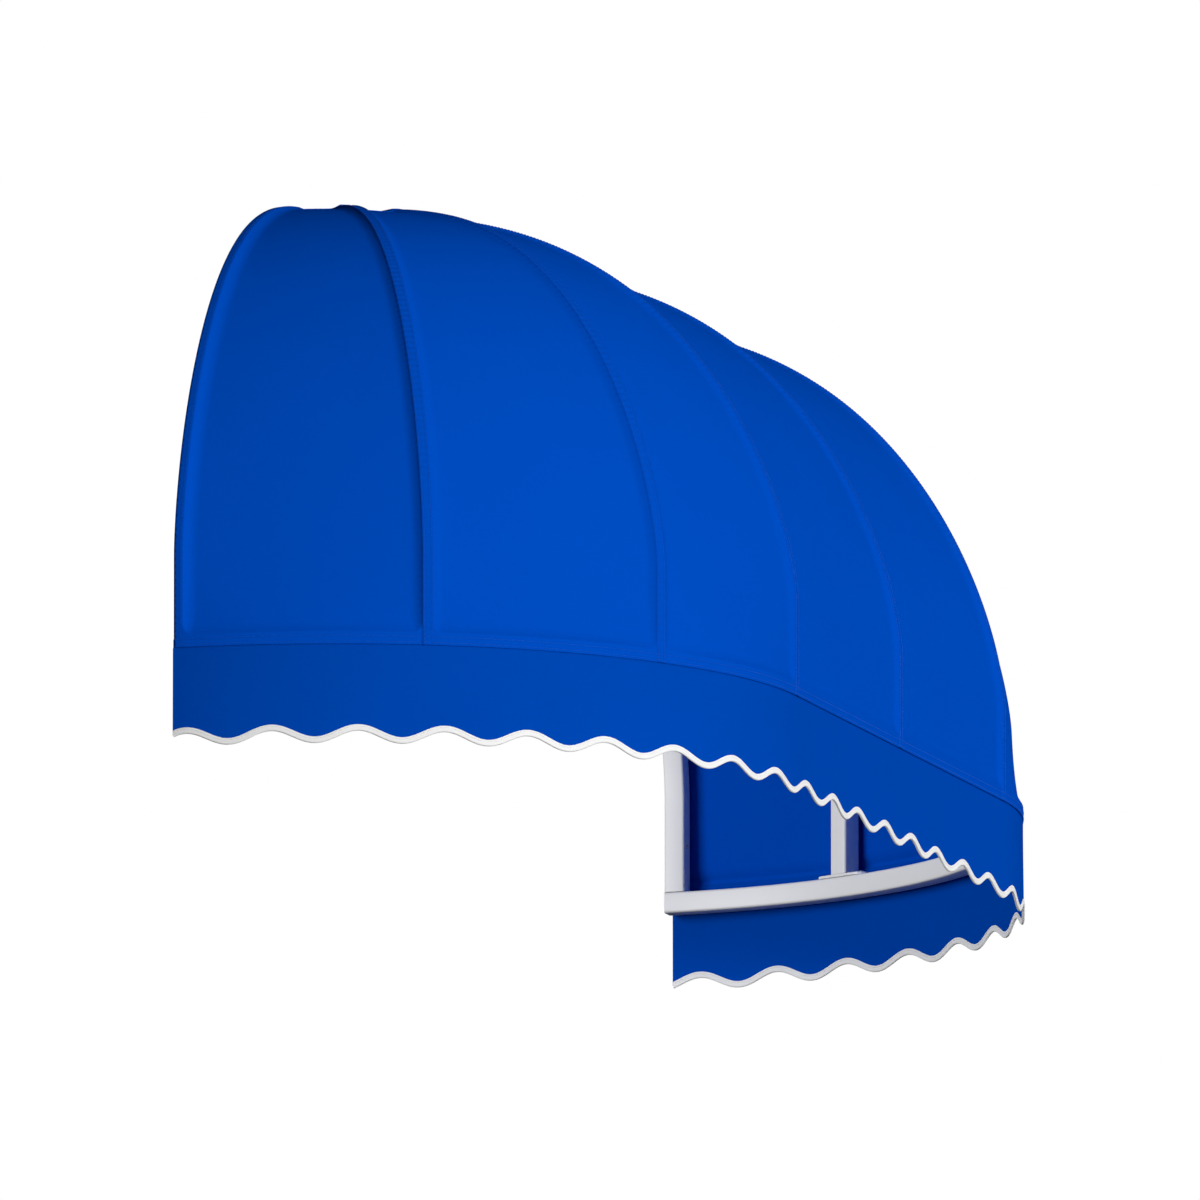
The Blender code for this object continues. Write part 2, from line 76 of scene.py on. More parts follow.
# Read from the frame ---------------------------------------------------------------
VALANCE_LOW, VALANCE_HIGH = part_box("valance")
BAR_LOW, BAR_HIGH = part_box("front_bow_tube")
TOP_LOW, TOP_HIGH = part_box("top_bow_tube")
RAIL_LOW, RAIL_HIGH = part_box("wall_header_tube")
BINDING_LOW, BINDING_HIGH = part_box("valance_binding")

HALF_WIDTH = VALANCE_HIGH.x
DEPTH = -VALANCE_LOW.y
TUBE = RAIL_HIGH.z - RAIL_LOW.z
TUBE_INSET = HALF_WIDTH - BAR_HIGH.x
TOP_SHARE = TOP_LOW.y / VALANCE_LOW.y
STRAIGHT_HALF = (TOP_HIGH.x - TOP_SHARE * HALF_WIDTH) / (1 - TOP_SHARE)
BAR_Z = (BAR_LOW.z + BAR_HIGH.z) / 2
VALANCE_TOP_Z = VALANCE_HIGH.z
BINDING_Z = (BINDING_LOW.z + BINDING_HIGH.z) / 2
RIB_COUNT = sum(name.endswith("_foot_plate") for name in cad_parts)

# Fixed shape numbers ---------------------------------------------------------------
LAST_PLACE = 4.0
GAP = 0.0003                  # between pieces that touch
ROUND_SIDES = 24
SHARP_ANGLE = math.radians(38)
PLATE = 0.003                 # thickness of the foot and crown plates
UP = np.array((0.0, 0.0, 1.0))
HEADER_HOLES = (-0.42, -0.16, 0.16, 0.42)   # places of the wall header's screw holes
ARCH_HOLES = (1, 29)          # sections of a wall arch that have a screw hole
TURN_MARGIN = 0.2             # past the top bow's turn, where a rib's end is looked for
TURN_HALVINGS = 40            # halvings of that span, to far below a micrometre


def place_of(x, y):
    """Place round the plan of a point near it."""
    if abs(x) <= STRAIGHT_HALF:
        return 2 + x / STRAIGHT_HALF
    turn = math.atan2(-y / DEPTH, (abs(x) - STRAIGHT_HALF) / (HALF_WIDTH - STRAIGHT_HALF))
    share = turn / (math.pi / 2)
    return share if x < 0 else LAST_PLACE - share


def rib_places():
    """Place of each rib, from the middle of its foot plate."""
    places = []
    for number in range(1, RIB_COUNT + 1):
        low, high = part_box("rib_%d_foot_plate" % number)
        places.append(place_of((low.x + high.x) / 2, (low.y + high.y) / 2))
    return places


RIB_PLACES = rib_places()
SEAM_PLACES = [0.0] + RIB_PLACES + [LAST_PLACE]


# Properties ------------------------------------------------------------------------

class AwningForm(bpy.types.PropertyGroup):
    """Sizes of the rounded form under the cover"""
    width: bpy.props.FloatProperty(
        name="Width", description="Along the wall, over the cloth",
        default=2 * HALF_WIDTH, unit="LENGTH")
    depth: bpy.props.FloatProperty(
        name="Depth", description="From the wall to the front of the cloth",
        default=DEPTH, unit="LENGTH")
    straight_half: bpy.props.FloatProperty(
        name="Straight Half", description="Half of the straight run at the front",
        default=STRAIGHT_HALF, unit="LENGTH")
    spring_drop: bpy.props.FloatProperty(
        name="Spring Drop", description="From the header down to where the cover turns upright",
        default=0.4669, unit="LENGTH")
    top_share: bpy.props.FloatProperty(
        name="Top Share", description="Size of the top bow as a share of the full plan",
        default=TOP_SHARE)
    plan_power: bpy.props.FloatProperty(
        name="Front Roundness", description="Power of the profile towards the front",
        default=2.69)
    rise_power: bpy.props.FloatProperty(
        name="Crown Roundness", description="Power of the profile towards the crown",
        default=1.57)


class AwningTubes(bpy.types.PropertyGroup):
    """Sizes and finish of the frame's tubes and screws"""
    side: bpy.props.FloatProperty(
        name="Side", description="Outside of the square tube", default=TUBE, unit="LENGTH")
    wall: bpy.props.FloatProperty(
        name="Wall", description="Thickness of the tube's wall", default=0.0015, unit="LENGTH")
    corner: bpy.props.FloatProperty(
        name="Corner", description="Outside radius of the tube's corners",
        default=0.0030, unit="LENGTH")
    inset: bpy.props.FloatProperty(
        name="Inset", description="From the outside of the seams in to the tube",
        default=TUBE_INSET, unit="LENGTH")
    wall_hole: bpy.props.FloatProperty(
        name="Wall Hole", description="Radius of the holes for wall screws",
        default=0.0035, unit="LENGTH")
    screw_head: bpy.props.FloatProperty(
        name="Screw Head", description="Radius of a foot screw's head",
        default=0.0042, unit="LENGTH")
    powder_coat: bpy.props.FloatVectorProperty(
        name="Powder Coat", description="Colour of the frame's powder coat",
        default=(0.80, 0.80, 0.80), subtype="COLOR", size=3)
    zinc: bpy.props.FloatVectorProperty(
        name="Zinc", description="Colour of the zinc-plated screws",
        default=(0.60, 0.61, 0.62), subtype="COLOR", size=3)


class AwningCanvas(bpy.types.PropertyGroup):
    """Sizes and finish of the sewn canvas"""
    thickness: bpy.props.FloatProperty(
        name="Thickness", description="Thickness of one layer of canvas",
        default=0.0008, unit="LENGTH")
    fullness: bpy.props.FloatProperty(
        name="Fullness", description="0 is stretched flat from seam to seam, 1 follows the plan",
        default=0.38, min=0.0, max=1.0, subtype="FACTOR")
    sunk: bpy.props.FloatProperty(
        name="Sunk", description="How far a gore lies inside its seams",
        default=0.0042, unit="LENGTH")
    lap: bpy.props.FloatProperty(
        name="Lap", description="Half width of the lapped seam over a rib",
        default=0.0062, unit="LENGTH")
    seam_foot: bpy.props.FloatProperty(
        name="Seam Foot", description="Distance from a seam where the gore is at its own level",
        default=0.022, unit="LENGTH")
    stitch: bpy.props.FloatProperty(
        name="Stitch", description="Length of one stitch", default=0.0034, unit="LENGTH")
    thread: bpy.props.FloatProperty(
        name="Thread", description="Radius of the sewing thread",
        default=0.00030, unit="LENGTH")
    yarn: bpy.props.FloatProperty(
        name="Yarn", description="Spacing of the yarns in the weave",
        default=0.00085, unit="LENGTH")
    blue: bpy.props.FloatVectorProperty(
        name="Blue", description="Colour of the canvas",
        default=(0.0, 0.0640, 0.4650), subtype="COLOR", size=3)
    # Painted shade: the cover's own canvas blue, darkened so that the valance looks shaded. The
    # valance is the same cloth as the cover.
    valance_shaded_blue: bpy.props.FloatVectorProperty(
        name="Valance Blue", description="Colour of the valance's canvas, from a darker roll",
        default=(0.0, 0.0545, 0.3900), subtype="COLOR", size=3)
    blue_thread: bpy.props.FloatVectorProperty(
        name="Blue Thread", description="Colour of the thread on the canvas",
        default=(0.0, 0.074, 0.50), subtype="COLOR", size=3)


class AwningTrim(bpy.types.PropertyGroup):
    """Sizes and finish of the valance and its scalloped edge"""
    scallop: bpy.props.FloatProperty(
        name="Scallop", description="Length of one scallop", default=0.1035, unit="LENGTH")
    swing: bpy.props.FloatProperty(
        name="Swing", description="Half height of the scallops", default=0.0075, unit="LENGTH")
    start: bpy.props.FloatProperty(
        name="Start", description="Share of a scallop at the left end of the valance",
        default=-0.16)
    tape: bpy.props.FloatProperty(
        name="Tape", description="Height of the folded binding tape",
        default=0.0077, unit="LENGTH")
    tape_fold: bpy.props.FloatProperty(
        name="Tape Fold", description="Thickness of the tape across its fold",
        default=BINDING_HIGH.x - BINDING_LOW.x - 2 * HALF_WIDTH + 0.0025, unit="LENGTH")
    sway: bpy.props.FloatProperty(
        name="Sway", description="How far the hanging edge wanders in and out",
        default=0.0008, unit="LENGTH")
    white: bpy.props.FloatVectorProperty(
        name="White", description="Colour of the binding tape",
        default=(0.80, 0.80, 0.80), subtype="COLOR", size=3)


class AwningStage(bpy.types.PropertyGroup):
    """Floor, light and camera"""
    azimuth: bpy.props.FloatProperty(
        name="Azimuth", description="Where the camera stands round the awning, 0 at the front",
        default=math.radians(-72.128), subtype="ANGLE")
    elevation: bpy.props.FloatProperty(
        name="Elevation", description="Height of the camera's view above the level",
        default=math.radians(-9.43), subtype="ANGLE")
    view_width: bpy.props.FloatProperty(
        name="View Width", description="Width of the view at the awning",
        default=1.4406, unit="LENGTH")
    lens: bpy.props.FloatProperty(
        name="Lens", description="Focal length, long for a nearly parallel view",
        default=1690.0, unit="CAMERA")
    aim_right: bpy.props.FloatProperty(
        name="Aim Right", description="Aim to the right of the awning's middle",
        default=-0.0760, unit="LENGTH")
    aim_up: bpy.props.FloatProperty(
        name="Aim Up", description="Aim above the awning's middle",
        default=-0.0451, unit="LENGTH")
    key: bpy.props.FloatProperty(
        name="Key", description="Strength of the main light", default=3.6)
    fill: bpy.props.FloatProperty(
        name="Fill", description="Strength of the light from the other side", default=0.55)
    glow: bpy.props.FloatProperty(
        name="Glow", description="Power of the light under the cover", default=19.0, unit="POWER")
    sky: bpy.props.FloatProperty(
        name="Sky", description="Strength of the light from all round", default=0.10)
    floor: bpy.props.FloatVectorProperty(
        name="Floor", description="Colour of the floor",
        default=(0.92, 0.92, 0.92), subtype="COLOR", size=3)


# The form --------------------------------------------------------------------------

def row(values):
    """Numbers as an array with one more axis, ready to scale vectors."""
    return np.asarray(values, float)[..., None]


def unit(vectors):
    """Vectors at length 1."""
    return vectors / np.linalg.norm(vectors, axis=-1, keepdims=True)


def smooth(share):
    """0 to 1 with level ends."""
    share = np.clip(share, 0.0, 1.0)
    return share * share * (3 - 2 * share)


def lengths_along(points):
    """Length of a path of points up to each of them."""
    steps = np.linalg.norm(np.diff(points, axis=0), axis=1)
    return np.concatenate(([0.0], np.cumsum(steps)))


def settle(share):
    """0 to 1, falling at once and easing in, as tight cloth does beside a tube."""
    share = np.clip(share, 0.0, 1.0)
    return 1 - (1 - share ** 1.12) ** 2.8


class Form:
    """The rounded form that the seams follow: one profile over every part of the plan."""

    def __init__(self, form):
        self.straight = form.straight_half
        self.cap = form.width / 2 - form.straight_half
        self.depth = form.depth
        self.spring = -form.spring_drop
        self.top = form.top_share
        self.plan_power = form.plan_power
        self.rise_power = form.rise_power
        self.crest = TUBE / 2 + TUBE_INSET
        risen = (1 - self.top ** self.plan_power) ** (1 / self.rise_power)
        self.rise = (self.crest - self.spring) / risen
        self.top_turn = math.acos(self.top ** (self.plan_power / 2))

    def ray(self, place):
        """Foot and full reach of the plan at places round it."""
        place = np.asarray(place, float)
        left = np.where(place < 1, place, 1.0)
        share = np.where(place > 3, LAST_PLACE - place, left)
        turn = share * math.pi / 2
        side = np.where(place < 2, -1.0, 1.0)
        zero = np.zeros_like(turn)
        foot = np.stack((self.straight * np.clip(place - 2, -1, 1), zero, zero), axis=-1)
        reach = np.stack((side * self.cap * np.cos(turn), -self.depth * np.sin(turn), zero), axis=-1)
        return foot, reach

    def steepness(self, place):
        """How the plan's equation grows outwards at places round it."""
        return self.ray(place)[1] / np.array((self.cap ** 2, self.depth ** 2, 1.0))

    def plan_normal(self, place):
        """Outward level normal of the plan."""
        return unit(self.steepness(place))

    def along(self, place):
        """Level direction of growing place."""
        normal = self.plan_normal(place)
        return np.stack((-normal[..., 1], normal[..., 0], normal[..., 2]), axis=-1)

    def profile(self, turn):
        """Share of the plan and height above the spring line at a turn of the profile."""
        turn = np.asarray(turn, float)
        return (np.cos(turn) ** (2 / self.plan_power),
                self.rise * np.sin(turn) ** (2 / self.rise_power))

    def slopes(self, turn):
        """How fast the profile's equation grows outwards and upwards."""
        ratio, height = self.profile(turn)
        outwards = self.plan_power * ratio ** (self.plan_power - 1)
        return outwards, self.rise_power * (height / self.rise) ** (self.rise_power - 1) / self.rise

    def plan_point(self, place, ratio, inset, height):
        """A point at a share of the plan, moved inwards, at a height."""
        foot, reach = self.ray(place)
        point = foot + row(ratio) * reach - row(inset) * self.plan_normal(place)
        point[..., 2] = height
        return point

    def surface(self, place, turn, below):
        """A point of the domed surface through the seams."""
        foot, reach = self.ray(place)
        ratio, height = self.profile(turn)
        point = foot + row(ratio) * reach
        point[..., 2] = self.spring + height - below
        return point

    def normal(self, place, turn):
        """Outward normal of the domed surface."""
        outwards, upwards = self.slopes(turn)
        normal = self.steepness(place) * row(outwards)
        normal[..., 2] = upwards
        return unit(normal)

    def width(self, first, last, ratio):
        """Length of the plan's curve between two places at shares of its size."""
        places = np.linspace(first, last, 33)
        points = self.plan_point(places[:, None], np.atleast_1d(ratio)[None, :], 0.0, 0.0)
        return np.linalg.norm(np.diff(points, axis=0), axis=-1).sum(axis=0)

    def rib_frame(self, reach, turn):
        """Reach, height and outward tilt of the seam above a rib."""
        ratio, height = self.profile(turn)
        outwards, upwards = self.slopes(turn)
        tilt = unit(np.array((outwards / reach, upwards)))
        return ratio * reach, self.spring + height, tilt


def current_form():
    """The form that the scene's properties describe."""
    return Form(bpy.context.scene.awning_form)


# Meshes ----------------------------------------------------------------------------

def grid_quads(rows, columns, first=0):
    """Quads of a grid of points, as corner numbers."""
    corner = first + np.arange(rows * columns).reshape(rows, columns)
    quads = (corner[:-1, :-1], corner[:-1, 1:], corner[1:, 1:], corner[1:, :-1])
    return np.stack(quads, axis=-1).reshape(-1, 4)


def ring_quads(rings, sides, first=0):
    """Quads that join closed rings of points one after another."""
    corner = first + np.arange(rings * sides).reshape(rings, sides)
    beside = np.roll(corner, -1, axis=1)
    return np.stack((corner[:-1], beside[:-1], beside[1:], corner[1:]), axis=-1).reshape(-1, 4)


def mesh_of(name, body):
    """A mesh with a bmesh's shape, which is then freed."""
    mesh = bpy.data.meshes.new(name)
    body.to_mesh(mesh)
    body.free()
    return mesh


def put(name, data):
    """A new object with its data, in the scene."""
    thing = bpy.data.objects.new(name, data)
    bpy.context.scene.collection.objects.link(thing)
    return thing


def subtract(piece, cutter):
    """Add a boolean that cuts another object's shape out of a piece."""
    cut = piece.modifiers.new("Cut", "BOOLEAN")
    cut.operation = "DIFFERENCE"
    cut.object = cutter


def finish_mesh(name, points, faces, uv=None, marks=None):
    """A smooth mesh with its faces out, a cloth map and named values at its points."""
    mesh = bpy.data.meshes.new(name)
    mesh.from_pydata(np.asarray(points).tolist(), [], faces)
    body = bmesh.new()
    body.from_mesh(mesh)
    bmesh.ops.recalc_face_normals(body, faces=body.faces)
    body.to_mesh(mesh)
    body.free()
    if uv is not None:
        corners = np.zeros(len(mesh.loops), np.int32)
        mesh.loops.foreach_get("vertex_index", corners)
        layer = mesh.uv_layers.new(name="cloth")
        layer.uv.foreach_set("vector", np.asarray(uv, np.float32)[corners].ravel())
    for key, values in (marks or {}).items():
        mark = mesh.attributes.new(key, "FLOAT", "POINT")
        mark.data.foreach_set("value", np.asarray(values, np.float32).ravel())
    mesh.shade_smooth()
    mesh.set_sharp_from_angle(angle=SHARP_ANGLE)
    return mesh


def sheet_mesh(name, outer, inner, uv, marks=None):
    """A closed sheet between two grids of points with the same rows and columns."""
    rows, columns = outer.shape[:2]
    count = rows * columns
    corner = np.arange(count).reshape(rows, columns)
    rim = np.concatenate((corner[0, :-1], corner[:-1, -1], corner[-1, :0:-1], corner[:0:-1, 0]))
    beside = np.roll(rim, -1)
    sides = np.stack((rim, rim + count, beside + count, beside), axis=-1)
    faces = np.concatenate((grid_quads(rows, columns), grid_quads(rows, columns, count)[:, ::-1],
                            sides)).tolist()
    points = np.concatenate((outer.reshape(-1, 3), inner.reshape(-1, 3)))
    doubled = {key: np.tile(np.ravel(values), 2) for key, values in (marks or {}).items()}
    return finish_mesh(name, points, faces, np.tile(uv.reshape(-1, 2), (2, 1)), doubled)


def tube_mesh(name, outer, inner):
    """A hollow tube between outer and inner rings of points, with open ends."""
    rings, sides = outer.shape[:2]
    count = rings * sides
    faces = [ring_quads(rings, sides), ring_quads(rings, sides, count)[:, ::-1]]
    for first in (0, count - sides):
        ring = first + np.arange(sides)
        beside = np.roll(ring, -1)
        faces.append(np.stack((ring, beside, beside + count, ring + count), axis=-1))
    points = np.concatenate((outer.reshape(-1, 3), inner.reshape(-1, 3)))
    return finish_mesh(name, points, np.concatenate(faces).tolist())


def rounded_square(half, radius, steps=5):
    """Points once round a square with rounded corners, as (across, along) pairs."""
    pairs = []
    for quarter in range(4):
        middle = math.pi / 4 + quarter * math.pi / 2
        centre = (half - radius) * math.sqrt(2)
        for step in range(steps + 1):
            angle = middle - math.pi / 4 + math.pi / 2 * step / steps
            pairs.append((centre * math.cos(middle) + radius * math.cos(angle),
                          centre * math.sin(middle) + radius * math.sin(angle)))
    return np.array(pairs)


def square_tube(name, middles, across, along, tubes):
    """A square tube with rounded corners through sections, stretched where cut at a slant."""
    half = tubes.side / 2
    rings = []
    for side, radius in ((half, tubes.corner), (half - tubes.wall, tubes.corner - tubes.wall)):
        pairs = rounded_square(side, radius)
        rings.append(middles[:, None] + pairs[None, :, :1] * across[:, None]
                     + pairs[None, :, 1:] * along[:, None])
    return tube_mesh(name, *rings)


def new_piece(name, mesh, finish, slot, *nodes):
    """Put a mesh into the scene as a piece of the awning that stands for CAD nodes."""
    piece = put(name, mesh)
    if not mesh.materials:
        mesh.materials.append(finish)
    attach(piece, "root")
    if nodes:
        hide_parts(*nodes)
    return piece


def drill(piece, middles, direction, radius, length):
    """Cut round holes through a piece, each round a middle along one direction."""
    turn = Vector(direction).to_track_quat("Z", "Y").to_matrix().to_4x4()
    body = bmesh.new()
    for middle in middles:
        bmesh.ops.create_cone(body, cap_ends=True, segments=ROUND_SIDES, radius1=radius,
                              radius2=radius, depth=length,
                              matrix=Matrix.Translation(middle) @ turn)
    bit = put("drill", mesh_of("drill", body))
    subtract(piece, bit)
    graph = bpy.context.evaluated_depsgraph_get()
    whole = piece.data
    piece.data = bpy.data.meshes.new_from_object(piece.evaluated_get(graph))
    piece.modifiers.clear()
    bpy.data.objects.remove(bit)
    bpy.data.meshes.remove(whole)
    piece.data.set_sharp_from_angle(angle=SHARP_ANGLE)


# Materials -------------------------------------------------------------------------

PUCKER = 0.0088               # length of a pucker beside a seam
PLY = 0.0009                  # length of one turn of the thread's plies
TAPE_YARN = 0.00055           # spacing of the yarns in the binding tape

def add_node(tree, kind, inputs=None, **settings):
    """A shader node with its settings, and its inputs set or joined."""
    node = tree.nodes.new("ShaderNode" + kind)
    for key, value in settings.items():
        setattr(node, key, value)
    for key, value in (inputs or {}).items():
        if isinstance(value, bpy.types.NodeSocket):
            tree.links.new(value, node.inputs[key])
        else:
            node.inputs[key].default_value = value
    return node


def maths(tree, operation, first, second=0.0):
    """Output of one Math node."""
    return add_node(tree, "Math", {0: first, 1: second}, operation=operation).outputs[0]


def new_material(name, roughness, specular, metallic=0.0):
    """A Principled material with its constant numbers set on the shader."""
    material = bpy.data.materials.new(name)
    material.use_nodes = True
    shader = material.node_tree.nodes["Principled BSDF"]
    shader.inputs["Roughness"].default_value = roughness
    shader.inputs["Specular IOR Level"].default_value = specular
    shader.inputs["Metallic"].default_value = metallic
    return material, material.node_tree, shader


def shades(tree, value, colour, darker, lighter):
    """A colour that runs from darker to lighter shares of itself with a value."""
    ramp = add_node(tree, "ValToRGB", {"Fac": value})
    ramp.color_ramp.elements[0].color = (*[c * darker for c in colour], 1.0)
    ramp.color_ramp.elements[1].color = (*[c * lighter for c in colour], 1.0)
    return ramp.outputs["Color"]


def paint(tree, shader, value, colour, darker, lighter):
    """Join a shader's base colour to shades of a colour."""
    tree.links.new(shades(tree, value, colour, darker, lighter), shader.inputs["Base Color"])


def blend_of(tree, first, first_share, second, second_share):
    """Sum of two values at their shares."""
    return maths(tree, "ADD", maths(tree, "MULTIPLY", first, first_share),
                 maths(tree, "MULTIPLY", second, second_share))


def join_bump(tree, shader, height, distance, before=None, strength=1.0):
    """Bump on a shader, over another bump where there is one."""
    inputs = {"Height": height, "Distance": distance, "Strength": strength}
    if before is not None:
        inputs["Normal"] = before
    bump = add_node(tree, "Bump", inputs)
    tree.links.new(bump.outputs["Normal"], shader.inputs["Normal"])
    return bump.outputs["Normal"]


def plain_weave(tree, across, up, yarn):
    """Height of a plain weave: yarns over and under each other by turns."""
    turn = math.pi / yarn
    warp = maths(tree, "SINE", maths(tree, "MULTIPLY", across, turn))
    weft = maths(tree, "SINE", maths(tree, "MULTIPLY", up, turn))
    over = maths(tree, "GREATER_THAN", maths(tree, "MULTIPLY", warp, weft), 0.0)
    top = add_node(tree, "Mix", {"Factor": over}, data_type="FLOAT")
    tree.links.new(maths(tree, "ABSOLUTE", warp), top.inputs[2])
    tree.links.new(maths(tree, "ABSOLUTE", weft), top.inputs[3])
    return top.outputs[0]


def cloth_map(tree):
    """The cloth's own map in metres, and its two parts."""
    uv = add_node(tree, "UVMap", uv_map="cloth").outputs["UV"]
    parts = add_node(tree, "SeparateXYZ", {"Vector": uv})
    return uv, parts.outputs["X"], parts.outputs["Y"]


def noise(tree, vector, scale, detail=2.0, stretch=None):
    """A noise value, with its space stretched where asked."""
    if stretch:
        mapping = add_node(tree, "Mapping", {"Vector": vector, "Scale": stretch})
        vector = mapping.outputs["Vector"]
    return add_node(tree, "TexNoise", {"Vector": vector, "Scale": scale,
                                       "Detail": detail}).outputs["Fac"]


def woven_canvas(name, colour, yarn):
    """Solution-dyed woven canvas with slubs in the yarn and puckers beside the seams."""
    material, tree, shader = new_material(name, 0.90, 0.0)
    uv, across, up = cloth_map(tree)
    slub_across = noise(tree, uv, 90.0, 2.0, (12.0, 0.6, 1.0))
    slub_up = noise(tree, uv, 90.0, 2.0, (0.6, 12.0, 1.0))
    slubs = maths(tree, "ADD", slub_across, slub_up)
    cloud = noise(tree, uv, 5.0, 3.0)
    paint(tree, shader, blend_of(tree, slubs, 0.35, cloud, 0.30), colour, 0.86, 1.14)
    seam = add_node(tree, "Attribute", attribute_name="seam").outputs["Fac"]
    ripple = maths(tree, "SINE", blend_of(tree, up, 2 * math.pi / PUCKER, cloud, 9.0))
    pucker = join_bump(tree, shader, maths(tree, "MULTIPLY", ripple, seam), 0.00022)
    weave = plain_weave(tree, across, up, yarn)
    join_bump(tree, shader, weave, 0.00012, pucker, 0.7)
    return material


def spun_thread(name, colour):
    """Twisted sewing thread, with painted shade in the grooves between its plies."""
    material, tree, shader = new_material(name, 0.6, 0.2)
    uv, across, up = cloth_map(tree)
    ply_height_and_shade = maths(tree, "SINE", blend_of(tree, across, 2 * math.pi / PLY, up, 2 * math.pi))
    # Painted shade: the colour follows the plies' height, darker in the grooves and lighter on the
    # ridges.
    paint(tree, shader, ply_height_and_shade, colour, 0.88, 1.06)
    join_bump(tree, shader, ply_height_and_shade, 0.00005)
    return material


def binding_tape(name, colour):
    """Close-woven tape with a fine rib across it."""
    material, tree, shader = new_material(name, 0.72, 0.2)
    uv, across, up = cloth_map(tree)
    cloud = noise(tree, uv, 40.0, 3.0)
    paint(tree, shader, cloud, colour, 0.95, 1.04)
    weave = plain_weave(tree, across, up, TAPE_YARN)
    join_bump(tree, shader, weave, 0.00008, strength=0.7)
    return material


def powder_coat(name, colour):
    """Sprayed and baked powder coat: a fine orange peel under a soft gloss."""
    material, tree, shader = new_material(name, 0.42, 0.5)
    spot = add_node(tree, "TexCoord").outputs["Object"]
    cloud = noise(tree, spot, 6.0, 3.0)
    speck = noise(tree, spot, 700.0, 2.0)
    paint(tree, shader, blend_of(tree, cloud, 0.7, speck, 0.3), colour, 0.965, 1.03)
    gloss = add_node(tree, "MapRange", {"Value": speck, "To Min": 0.36, "To Max": 0.50})
    tree.links.new(gloss.outputs["Result"], shader.inputs["Roughness"])
    join_bump(tree, shader, noise(tree, spot, 520.0, 1.0), 0.00005)
    return material


def plated_steel(name, colour):
    """Zinc plate over turned steel, with fine rings and a mottled bloom."""
    material, tree, shader = new_material(name, 0.34, 0.5, 1.0)
    spot = add_node(tree, "TexCoord").outputs["Object"]
    bloom = noise(tree, spot, 420.0, 3.0)
    paint(tree, shader, bloom, colour, 0.85, 1.12)
    rings = add_node(tree, "TexWave", {"Vector": spot, "Scale": 900.0, "Distortion": 0.6},
                     wave_type="RINGS", rings_direction="Z")
    join_bump(tree, shader, rings.outputs["Fac"], 0.00001)
    rough = add_node(tree, "MapRange", {"Value": bloom, "To Min": 0.26, "To Max": 0.46})
    tree.links.new(rough.outputs["Result"], shader.inputs["Roughness"])
    return material


def finish(name):
    """One of the awning's materials, made the first time that a piece asks for it."""
    made = bpy.data.materials.get(name)
    if made:
        return made
    scene = bpy.context.scene
    canvas, trim, tubes = scene.awning_canvas, scene.awning_trim, scene.awning_tubes
    makers = {
        "blue_awning_canvas": (woven_canvas, canvas.blue, canvas.yarn),
        # The valance's finish is the cover's canvas in a darker blue, which paints shade on the
        # valance.
        "blue_valance_canvas": (woven_canvas, canvas.valance_shaded_blue, canvas.yarn),
        "blue_sewing_thread": (spun_thread, canvas.blue_thread),
        "white_sewing_thread": (spun_thread, trim.white),
        "white_binding_tape": (binding_tape, trim.white),
        "white_powder_coat": (powder_coat, tubes.powder_coat),
        "zinc_plated_steel": (plated_steel, tubes.zinc),
    }
    if name not in makers:
        raise RuntimeError("There is no finish named " + name)
    maker, *settings = makers[name]
    return maker(name, *settings)


# Frame pieces ----------------------------------------------------------------------

def bow_places(steps_cap=44, steps_front=8):
    """Places along a bow, close together round the caps."""
    cap = np.linspace(0.0, 1.0, steps_cap + 1)
    front = np.linspace(1.0, 3.0, steps_front + 1)[1:-1]
    return np.concatenate((cap, front, LAST_PLACE - cap[::-1]))


def bow(name, form, tubes, ratio, inset, height, node):
    """A level tube bent to the plan from wall to wall."""
    places = bow_places()
    middles = form.plan_point(places, ratio, inset + tubes.side / 2, height)
    up = np.tile(UP, (len(places), 1))
    mesh = square_tube(name, middles, form.plan_normal(places), up, tubes)
    return new_piece(name, mesh, finish("white_powder_coat"), "frame_powder_coat", node)


class AWNING_OT_bows(bpy.types.Operator):
    """Bend the front bow and the top bow"""
    bl_idname = "awning.bows"
    bl_label = "Bows"

    def execute(self, context):
        form = current_form()
        tubes = context.scene.awning_tubes
        bow("bent_front_bow", form, tubes, 1.0, tubes.inset, BAR_Z, "front_bow_tube")
        bow("bent_top_bow", form, tubes, form.top, 0.0, 0.0, "top_bow_tube")
        return {"FINISHED"}


class AWNING_OT_header(bpy.types.Operator):
    """Cut and drill the straight wall header"""
    bl_idname = "awning.header"
    bl_label = "Wall Header"

    def execute(self, context):
        tubes = context.scene.awning_tubes
        middles = np.array([(x, -tubes.side / 2, 0.0) for x in (RAIL_LOW.x, RAIL_HIGH.x)])
        inwards = np.tile((0.0, 1.0, 0.0), (2, 1))
        mesh = square_tube("drilled_wall_header", middles, inwards, np.tile(UP, (2, 1)), tubes)
        rail = new_piece("drilled_wall_header", mesh, finish("white_powder_coat"),
                         "frame_powder_coat", "wall_header_tube")
        spots = [Vector((x, -tubes.side / 2, 0)) for x in HEADER_HOLES]
        drill(rail, spots, (0, 1, 0), tubes.wall_hole, 2 * tubes.side)
        return {"FINISHED"}


def rib_end_turn(form, reach, end_reach, inside):
    """Turn of the profile where a rib's middle line, inside the seam, comes to the top bow."""
    low, high = 0.5, form.top_turn + TURN_MARGIN
    for _ in range(TURN_HALVINGS):
        middle = (low + high) / 2
        out, _, tilt = form.rib_frame(reach, middle)
        if out - inside * tilt[0] > end_reach:
            low = middle
        else:
            high = middle
    return (low + high) / 2


